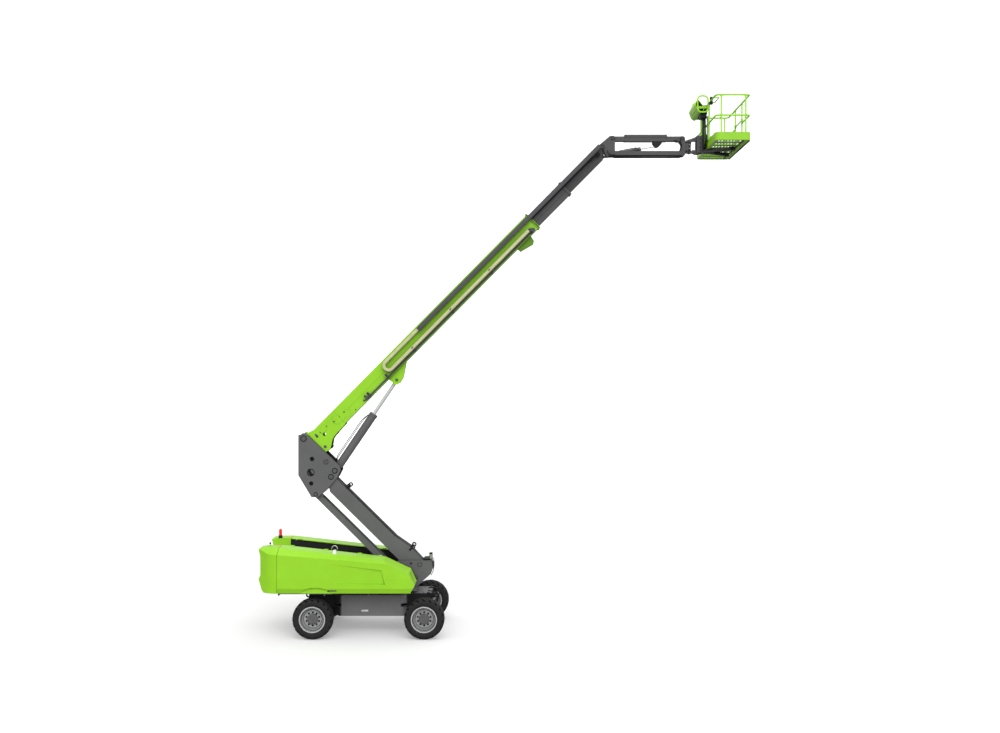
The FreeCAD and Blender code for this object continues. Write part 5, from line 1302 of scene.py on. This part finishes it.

# dark strips along the link, black strips under the tie as painted shade on its underside, dark strips round the arm's
# sleeve, and the lugs for the rod's eye
edges = [strip([noseHinge + np.array([x, s * 0.1415, z]) for x, z in look["linkEdge"]], 0.012, 0.030) for s in (-1, 1)]
addPiece("link_edges", joined(edges), "jib_link", "blackPaint")
stripXs = np.linspace(0.03, look["length"] - 0.03, 4)
under = [strip([lowRoot + np.array([x, s * 0.122, -0.060]) for x in stripXs], 0.028, 0.030) for s in (-1, 1)]
addPiece("jib_tie_strips", joined(under), "jib_tie", "blackPaint")
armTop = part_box("jib_arm")[1][2]
rise, half = look["sleeveRise"], look["sleeveY"]
a, b = (jibRoot[0] + x for x in look["sleeve"])
sleeve = block((a, -half, armTop - 0.050), (b, half, armTop + rise), 0.006)
addPiece("jib_arm_sleeve", sleeve, "jib_arm", "boomPaint")
sleeveEnds = [block((x - 0.006, -half - 0.002, armTop - 0.052), (x + 0.006, half + 0.002, armTop + rise + 0.002),
                    0.003) for x in (a, b)]
addPiece("jib_sleeve_ends", joined(sleeveEnds), "jib_arm", "blackPaint")
rodLugs = [plateShape(look["lug"], 0.006, jibRoot + np.array([0, s * look["lugY"], 0]), (1, 0, 0), (0, 0, 1))
           for s in (-1, 1)]
addPiece("jib_rod_lugs", joined(rodLugs), "jib_arm", "blackPaint")

# the head's inner edges, and the rotator's bands, ports and hoses
inner = [strip([jibTip + np.array([x, s * look["headEdgeY"], z]) for x, z in look["headEdge"]], 0.016, 0.014, 0.004,
               bend=0.06) for s in (-1, 1)]
addPiece("head_edge_strips", joined(inner), "jib_head", "blackPaint")
rotator = jibTip + np.array([look["rotatorX"], 0, -look["rotatorDrop"]])
half = look["rotatorHeight"] / 2
radius = look["rotatorRadius"]
bands = [openRing(radius + 0.0005, radius + 0.007, 0.022, rotator + upward * z, upward, 36)
         for z in (-half + 0.002, half - 0.024)]
addPiece("rotator_bands", joined(bands), "jib_head", "blackPaint")
ports = [lathe([(0.013, 0.0), (0.013, 0.030), (0.009, 0.034), (0.009, 0.048)], rotator + np.array([0.02, -0.078, z]),
               (0, -1, 0), 8) for z in (-0.05, 0.05)]
addPiece("rotator_ports", joined(ports), "jib_head", "zincSteel")
headHose = hoseThrough(jibTip, look["headHose"], 0.019, 10)
addPiece("head_hose", headHose, "jib_head", "hoseRubber", creaseAngle=60)
sideHose = hoseThrough(rotator, look["rotatorHose"], 0.009, 10)
addPiece("rotator_hose", sideHose, "jib_head", "hoseRubber", creaseAngle=60)
print("jib fitted")


# basket: smooth rails and posts in place of the faceted ones

basketLook = {"reach": 0.451, "depth": 0.880, "half": 1.220, "floorDrop": 0.068, "railHeight": 1.119,
              "midHeight": 0.615, "inset": 0.023, "railRadius": 0.0225, "postRadius": 0.020, "corner": 0.105,
              "gateHalf": 0.360, "postNear": 0.130, "postFar": 0.102, "toeHeight": 0.187, "toeRadius": 0.0055,
              "floorThick": 0.025, "barYs": (-0.930, -0.430), "barReach": 0.130, "barRadius": 0.014}

look = basketLook
nearX = rotator[0] + look["reach"]
farX = nearX + look["depth"]
floorLow = rotator[2] - look["floorDrop"]
railTop = floorLow + look["railHeight"] - 0.003
railMid = floorLow + look["midHeight"]
x0, x1 = nearX + look["inset"], farX - look["inset"]
y1 = look["half"] - look["inset"]
y0 = -y1


def levelHoop(z, radius, gate=None):
    # a level rectangle of tube, each corner an arc; where a gate is given the far end is left open there
    if gate is None:
        corners = [(x0, y0, z), (x1, y0, z), (x1, y1, z), (x0, y1, z)]
    else:
        corners = [(x1, -gate, z), (x1, y0, z), (x0, y0, z), (x0, y1, z), (x1, y1, z), (x1, gate, z)]
    return tube(corners, radius, upward, bend=look["corner"], steps=16, closed=gate is None)


sideXs = (x0 + look["postNear"], x1 - look["postFar"])
posts = [(x, y) for y in (y0, y1) for x in sideXs]
posts += [(x, y) for x in (x0, x1) for y in (-look["gateHalf"], look["gateHalf"])]
rails = [levelHoop(railTop, look["railRadius"]), levelHoop(railMid, look["railRadius"] * 0.94, look["gateHalf"])]
for x, y in posts:
    rails.append(lathe([(look["postRadius"], 0.0), (look["postRadius"], railTop - floorLow - look["floorThick"])],
                       np.array([x, y, floorLow + look["floorThick"]]), upward, 16))
railPiece = addPiece("basket_rails", joined(rails), "platform", "railLime", creaseAngle=50)
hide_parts("platform_rails")
railR, postR = look["railRadius"], look["postRadius"]
welds = [openRing(postR + 0.0005, postR + 0.006, 0.007, np.array([x, y, z]), upward, 16) for x, y in posts
         for z in (railTop - railR - 0.006, railMid - railR - 0.006, railMid + railR - 0.001)]
addPiece("rail_welds", joined(welds), "platform", "railLime")
toeX0, toeX1, toeY, toeZ = nearX + 0.003, farX - 0.003, look["half"] - 0.003, floorLow + look["toeHeight"]
toeLip = tube([(toeX0, -toeY, toeZ), (toeX1, -toeY, toeZ), (toeX1, toeY, toeZ), (toeX0, toeY, toeZ)],
              look["toeRadius"], upward, bend=look["corner"], steps=8, closed=True)
addPiece("toe_board_lip", toeLip, "platform", "limePaint", creaseAngle=60)

# the hand bar inside the near end rail, and the dark box clamped to that rail
barLow, barHigh = look["barYs"]
barX = x0 + look["barReach"]
bar = tube([(x0, barLow, railTop), (barX, barLow, railTop), (barX, barHigh, railTop), (x0, barHigh, railTop)],
           look["barRadius"], upward, bend=0.045, steps=12)
addPiece("hand_bar", bar, "platform", "railLime", creaseAngle=50)
box = [block((x0 - 0.045, -0.640, railTop - 0.085), (x0 + 0.045, -0.520, railTop - 0.018), 0.010),
       block((x0 - 0.038, -0.690, railTop + 0.018), (x0 + 0.030, -0.590, railTop + 0.086), 0.012),
       block((x0 - 0.026, -0.660, railTop - 0.026), (x0 + 0.026, -0.620, railTop + 0.026), 0.006)]
addPiece("rail_control_box", joined(box), "platform", "blackPlastic")
button = lathe([(0.022, 0.0), (0.022, 0.010), (0.016, 0.020), (0.001, 0.024)],
               np.array([x0 + 0.030, -0.640, railTop + 0.052]), (1, 0, 0), 18)
addPiece("rail_stop_button", button, "platform", "knobRed")
hooks = [openRing(0.018, 0.027, 0.008, np.array([x, y, railMid - 0.060]), (0, 1, 0), 22)
         for x in sideXs for y in (y0 + 0.016, y1 - 0.024)]
hooks += [block((x - 0.010, y - 0.004, railMid - 0.048), (x + 0.010, y + 0.004, railMid - 0.012), 0.002)
          for x in sideXs for y in (y0 + 0.020, y1 - 0.020)]
addPiece("harness_eyes", joined(hooks), "platform", "blackPaint")

# floor: punched dimples under and over the planks, pale cross bars and dark edge angles below
plankLook = {"count": 7, "margin": 0.060, "rise": 0.005, "dimple": 0.011, "alongX": 18, "rows": (-0.052, 0.0, 0.052),
             "below": 0.004, "above": 0.003}
margin, half = plankLook["margin"], look["half"]
plankPitch = 2 * (half - margin) / plankLook["count"]
rowYs = [k * plankPitch - half + margin + row for k in range(plankLook["count"] + 1) for row in plankLook["rows"]]
rowYs = [y for y in rowYs if abs(y) < half - margin - 0.012]
rowXs = np.linspace(nearX + margin + 0.045, farX - margin - 0.045, plankLook["alongX"])
spots = np.array([(x, y, floorLow + 0.008) for y in rowYs for x in rowXs])


def dimple(height, direction):  # a punched cone, cut off flat
    radius = plankLook["dimple"]
    return lathe([(radius, 0.0), (radius * 0.8, height), (radius * 0.45, height)], np.zeros(3), (0, 0, direction), 8)


addPiece("plank_dimples_below", copied(dimple(plankLook["below"], -1), spots), "platform", "blackPaint",
         creaseAngle=60)
topSpots = spots + upward * (look["floorThick"] + plankLook["rise"] - 0.008)
addPiece("plank_dimples_above", copied(dimple(plankLook["above"], 1), topSpots), "platform", "limeCasting",
         creaseAngle=60)
crossBars = [block((x - 0.010, 0.070 - half, floorLow - 0.006), (x + 0.010, half - 0.070, floorLow + 0.008), 0.003)
             for x in (nearX + 0.075, nearX + 0.300, farX - 0.300)]
addPiece("floor_cross_bars", joined(crossBars), "platform", "zincSteel")
edges = [block((farX - 0.036, 0.090 - half, floorLow - 0.016), (farX - 0.002, half - 0.090, floorLow + 0.006), 0.004),
         block((farX - 0.180, 0.060 - half, floorLow - 0.010), (farX - 0.150, half - 0.060, floorLow + 0.008), 0.004)]
addPiece("floor_edge_angles", joined(edges), "platform", "blackPaint")
print("basket rails and floor made")


# console: curved cover, control box, joysticks, guard hoops, column and cables

# places in it are given from the basket's near end and its top rail
consoleLook = {"half": 0.385, "coverNear": 0.388, "farHalf": 0.520, "coverWall": 0.012, "coverBend": 0.045,
               "coverLine": [(-0.165, -0.045), (-0.272, 0.092), (-0.326, -0.030), (-0.252, -0.205),
                             (-0.170, -0.238), (-0.120, -0.150)],
               "panelDrop": 0.062, "box": [(-0.285, -0.010), (-0.020, 0.000), (-0.020, -0.075), (-0.285, -0.075)],
               "panel": [(-0.275, 0.001), (-0.026, 0.010), (-0.026, 0.018), (-0.275, 0.009)],
               # dark blocks under the box: near and far x, low and high y, low and high z, edge
               "base": ((-0.290, -0.012, -0.357, 0.357, -0.158, -0.138, 0.004),
                        (-0.120, -0.012, -0.335, 0.335, -0.215, -0.158, 0.008),
                        (-0.155, -0.002, -0.250, 0.250, -0.250, -0.205, 0.010),
                        (-0.185, -0.024, -0.300, -0.050, -0.360, -0.240, 0.010)),
               "stickYs": (-0.230, 0.020, 0.230), "joystick": 0.020, "buttons": 10, "buttonPitch": 0.070,
               "stayY": 0.500, "stayRadius": 0.020,
               "guardY": 0.370, "guardWide": 0.266, "guardTop": 0.190, "guardLow": -0.228, "guardBend": 0.122,
               "guardTube": 0.0205,
               # columns: name, finish, near and far x, low end from the floor
               "columns": (("black", "blackPaint", -0.084, -0.062, -0.030),
                           # the green column is painted in the darker lime: painted shade for a lime panel standing in
                           # shade
                           ("green", "shadeLime", -0.060, -0.003, -0.030),
                           ("pale", "brightPaint", 0.040, 0.078, 0.032)),
               "columnHalf": 0.040, "columnTop": -0.245}

look = consoleLook


def coverShape(look):
    # the cover: its side outline with rounded corners, offset by its wall and carried across the basket
    path = roundedPath([(x, 0, z) for x, z in look["coverLine"]], look["coverBend"], steps=7)
    path = path + np.array([nearX, 0, railTop])
    tangent = np.gradient(path, axis=0)
    tangent /= np.linalg.norm(tangent, axis=1, keepdims=True)
    normal = np.cross(np.array([0.0, 1.0, 0.0]), tangent)
    wall = look["coverWall"]
    ring = np.concatenate([path, (path + normal * wall)[::-1]])
    offsets = np.array([-look["coverNear"], -look["coverNear"] + 0.004, look["farHalf"] - 0.004, look["farHalf"]])
    points = np.repeat(ring[None], 4, 0)
    points[:, :, 1] = offsets[:, None]
    return gridShape(points, wrapCols=True, capEnds=True)


coverPiece = addPiece("console_cover", coverShape(look), "platform", "limePaint")
panelTop = railTop - look["panelDrop"]
panelEnd = np.array([nearX, 0.0, panelTop])
body = plateShape(look["box"], 2 * look["half"] - 0.060, panelEnd, (1, 0, 0), (0, 0, 1))
addPiece("console_box", body, "platform", "limePaint", bevel=0.008)
panel = plateShape(look["panel"], 2 * look["half"] - 0.090, panelEnd, (1, 0, 0), (0, 0, 1))
addPiece("console_panel", panel, "platform", "panelPlastic", bevel=0.003)
trims = [block((nearX + xa, ya, railTop + za), (nearX + xb, yb, railTop + zb), edge)
         for xa, xb, ya, yb, za, zb, edge in look["base"]]
addPiece("console_base", joined(trims), "platform", "blackPaint")

# joysticks on rubber boots, and two staggered rows of buttons
bootLine = [(0.040, 0.0), (0.040, 0.005), (0.030, 0.009), (0.024, 0.013), (0.014, 0.018), (0.010, 0.022)]
stickLine = [(0.007, 0.010), (0.007, 0.026), (0.015, 0.030), (look["joystick"], 0.038), (look["joystick"], 0.048),
             (0.012, 0.056), (0.002, 0.058)]
feet = [np.array([nearX - 0.140, y, panelTop + 0.012]) for y in look["stickYs"]]
sticks = [lathe(stickLine, foot, upward, 18) for foot in feet]
firstButton = -look["buttonPitch"] * (look["buttons"] - 1) / 2
buttons = [lathe([(0.009, 0.0), (0.009, 0.010), (0.006, 0.013)],
                 np.array([nearX - 0.055 - 0.03 * (k % 2), firstButton + look["buttonPitch"] * k, panelTop + 0.012]),
                 upward, 12) for k in range(look["buttons"])]
addPiece("console_boots", joined([lathe(bootLine, foot, upward, 18) for foot in feet]), "platform", "sealRubber")
addPiece("console_joysticks", joined(sticks + buttons), "platform", "blackPlastic")

# a post below the console and a green stay beside it
postShapes = [block((nearX - 0.112, -0.218, floorLow - 0.030), (nearX - 0.086, -0.182, railTop - 0.345), axis=2),
              block((nearX - 0.100, -0.216, floorLow + 0.030), (nearX - 0.001, -0.184, floorLow + 0.080), 0.003)]
addPiece("console_posts", joined(postShapes), "platform", "blackPaint")
stay = lathe([(look["stayRadius"], 0.0), (look["stayRadius"], railTop - floorLow - 0.215)],
             np.array([nearX - 0.014, look["stayY"], floorLow + 0.020]), upward, 16)
addPiece("console_stay", stay, "platform", "railLime", creaseAngle=50)
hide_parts("control_console")

left, right = nearX - 0.006 - look["guardWide"], nearX - 0.006
low, high = railTop + look["guardLow"], railTop + look["guardTop"]
guards = [tube([(left, y, low), (left, y, high), (right, y, high), (right, y, low)], look["guardTube"],
               bend=look["guardBend"], steps=14, closed=True) for y in (-look["guardY"], look["guardY"])]
guardPiece = addPiece("console_guard_hoops", joined(guards), "platform", "railLime", creaseAngle=60)
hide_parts("console_guard")

for tag, paint, near, far, foot in look["columns"]:
    column = block((nearX + near, -look["columnHalf"], floorLow + foot),
                   (nearX + far, look["columnHalf"], railTop + look["columnTop"]), axis=2)
    addPiece(f"console_column_{tag}", column, "platform", paint)
cables = [tube([(nearX - 0.030, -0.070, railTop - 0.245), (nearX - 0.010, -0.085, railTop - 0.70),
                (nearX + 0.010, -0.070, floorLow + 0.28), (nearX - 0.020, -0.050, floorLow + 0.10),
                (nearX - 0.060, -0.040, floorLow - 0.02), (nearX - 0.14, -0.03, floorLow - 0.04)], 0.013, steps=8),
          tube([(nearX - 0.050, -0.240, railTop - 0.245), (nearX - 0.055, -0.290, floorLow + 0.50),
                (nearX - 0.045, -0.250, floorLow + 0.20), (nearX - 0.060, -0.120, floorLow + 0.02)], 0.010, steps=8)]
addPiece("console_cables", joined(cables), "platform", "hoseRubber", creaseAngle=60)
socket = block((nearX - 0.050, -0.330, floorLow + 0.150), (nearX - 0.010, -0.250, floorLow + 0.330), 0.008)
addPiece("socket_box", socket, "platform", "blackPlastic")
print("console made")


# bracket: hoses in the clamp's mouth, bolts, and black caps on the two arms

# places in it are given from the rotator's middle
bracketLook = {"reach": 0.386, "armEndX": 0.250, "armEndY": 0.380, "armDrop": 0.035, "capHalf": (0.049, 0.064),
               "hoses": (((0.10, -0.035, -0.150), (0.165, -0.045, -0.190), (0.250, -0.050, -0.185),
                          (0.330, -0.050, -0.150)),
                         ((-0.03, -0.030, -0.150), (0.010, -0.040, -0.176), (0.060, -0.040, -0.150))),
               "boltPlaces": ((0.240, 0.190), (0.240, -0.110), (0.0, 0.150), (0.0, -0.132)), "boltY": 0.070,
               "plateBoltX": 0.296, "plateBoltZs": (0.20, 0.10, -0.02, -0.10), "plateBoltY": 0.120}

look = bracketLook
mouth = block(rotator + np.array([0.194, -0.074, -0.085]), rotator + np.array([0.232, 0.074, 0.150]), 0.003)
addPiece("bracket_mouth_edge", mouth, "platform", "blackPaint")
drop = [hoseThrough(rotator, places, 0.014) for places in look["hoses"]]
addPiece("bracket_hoses", joined(drop), "platform", "hoseRubber", creaseAngle=60)
lugs = [hexBolt(0.014, 0.014, rotator + np.array([x, s * look["boltY"], z]), (0.0, float(s), 0.0))
        for s in (-1, 1) for x, z in look["boltPlaces"]]
lugs += [hexBolt(0.013, 0.013, rotator + np.array([look["plateBoltX"], s * look["plateBoltY"], z]),
                 (0.0, float(s), 0.0)) for s in (-1, 1) for z in look["plateBoltZs"]]
addPiece("bracket_bolts", joined(lugs), "platform", "blackPaint")
covers = []
for s in (-1, 1):
    footEnd = np.array([rotator[0] + look["reach"] + 0.330, s * 0.188, floorLow - look["armDrop"]])
    tipEnd = np.array([farX - look["armEndX"], s * look["armEndY"], floorLow - look["armDrop"]])
    covers.append(strip([footEnd, tipEnd], 0.086, 0.076, 0.006, np.cross(tipEnd - footEnd, upward)))
    halfX, halfY = look["capHalf"]
    covers.append(block(tipEnd - np.array([halfX, halfY, 0.048]), tipEnd + np.array([halfX, halfY, 0.034]), 0.005))
addPiece("arm_covers", joined(covers), "platform", "blackPaint")
print("bracket fitted")


# floor, light and camera

studio = {"floorTone": 0.72, "floorGlow": 0.19, "wallGlow": 0.55, "wallStart": 14.0, "wallFull": 34.0,
          "cameraX": 3.246, "cameraY": -26.5, "cameraZ": 6.730, "lens": 37.008,
          "skyStrength": 1.0, "groundStrength": 0.32, "sunStrength": 1.55, "sunSpread": 55.0}


def floorShape():
    # a wide sheet: flat ground, then a quarter circle far behind, then a tall wall
    bend = np.linspace(0, math.pi / 2, 24)
    ground = np.array([[-60.0, 0.0]])
    sweepUp = np.stack([40 + 30 * np.sin(bend), 30 - 30 * np.cos(bend)], -1)
    wall = np.array([[70.0, 90.0]])
    line = np.concatenate([ground, sweepUp, wall])
    x = np.array([-120.0, 120.0])
    points = np.stack(np.broadcast_arrays(x[None, :], line[:, :1], line[:, 1:]), -1)
    return gridShape(points)


def floorMaterial():
    # matte white that glows a little, more towards the wall behind, read from its own coordinates
    material, tree, shader = nodeMaterial("studioFloor")
    tone = studio["floorTone"]
    shade = addRange(tree, addNoise(tree, 0.4, 2.0), 0.3, 0.7, tone - 0.003, tone + 0.003)
    combine = tree.nodes.new("ShaderNodeCombineColor")
    for channel in ("Red", "Green", "Blue"):
        tree.links.new(shade, combine.inputs[channel])
    tree.links.new(combine.outputs["Color"], shader.inputs["Base Color"])
    shader.inputs["Roughness"].default_value = 0.9
    shader.inputs["Specular IOR Level"].default_value = 0.05
    place = tree.nodes.new("ShaderNodeTexCoord")
    split = tree.nodes.new("ShaderNodeSeparateXYZ")
    tree.links.new(place.outputs["Object"], split.inputs["Vector"])
    glow = addRange(tree, split.outputs["Y"], studio["wallStart"], studio["wallFull"], studio["floorGlow"],
                    studio["wallGlow"])
    tree.links.new(glow, shader.inputs["Emission Strength"])
    shader.inputs["Emission Color"].default_value = (1.0, 1.0, 1.0, 1)
    return material


finish["studioFloor"] = floorMaterial()
floor = addPiece("studio_floor", floorShape(), None, "studioFloor")

world = bpy.data.worlds.new("studio")
bpy.context.scene.world = world
world.use_nodes = True
background = world.node_tree.nodes["Background"]
background.inputs["Color"].default_value = (1.0, 1.0, 1.0, 1)
skyTree = world.node_tree
direction = skyTree.nodes.new("ShaderNodeTexCoord")
height = skyTree.nodes.new("ShaderNodeSeparateXYZ")
skyTree.links.new(direction.outputs["Generated"], height.inputs["Vector"])
sky = addRange(skyTree, height.outputs["Z"], -0.25, 0.30, studio["groundStrength"], studio["skyStrength"])
skyTree.links.new(sky, background.inputs["Strength"])
floor.visible_diffuse = False
floor.visible_glossy = False


def wideSun(name, source, strength, spread):
    # sunlight from a wide patch of sky, turned to shine from its source towards the origin
    lamp = bpy.data.lights.new(name, "SUN")
    lamp.energy = strength
    lamp.angle = math.radians(spread)
    holder = bpy.data.objects.new(name, lamp)
    bpy.context.scene.collection.objects.link(holder)
    away = Vector(source)
    holder.rotation_euler = away.to_track_quat("Z", "Y").to_euler()
    return holder


wideSun("key_light", (0.15, -0.80, 0.58), studio["sunStrength"], studio["sunSpread"])
lensData = bpy.data.cameras.new("view_camera")
lensData.lens = studio["lens"]
lensData.sensor_width = 36.0
lensData.clip_end = 400.0
camera = bpy.data.objects.new("view_camera", lensData)
bpy.context.scene.collection.objects.link(camera)
camera.location = (groundCentre[0] + studio["cameraX"], studio["cameraY"], studio["cameraZ"])
camera.rotation_euler = (math.pi / 2, 0.0, 0.0)
bpy.context.scene.camera = camera
bpy.context.scene.view_settings.view_transform = "Standard"
bpy.context.scene.view_settings.look = "None"
print("studio ready")
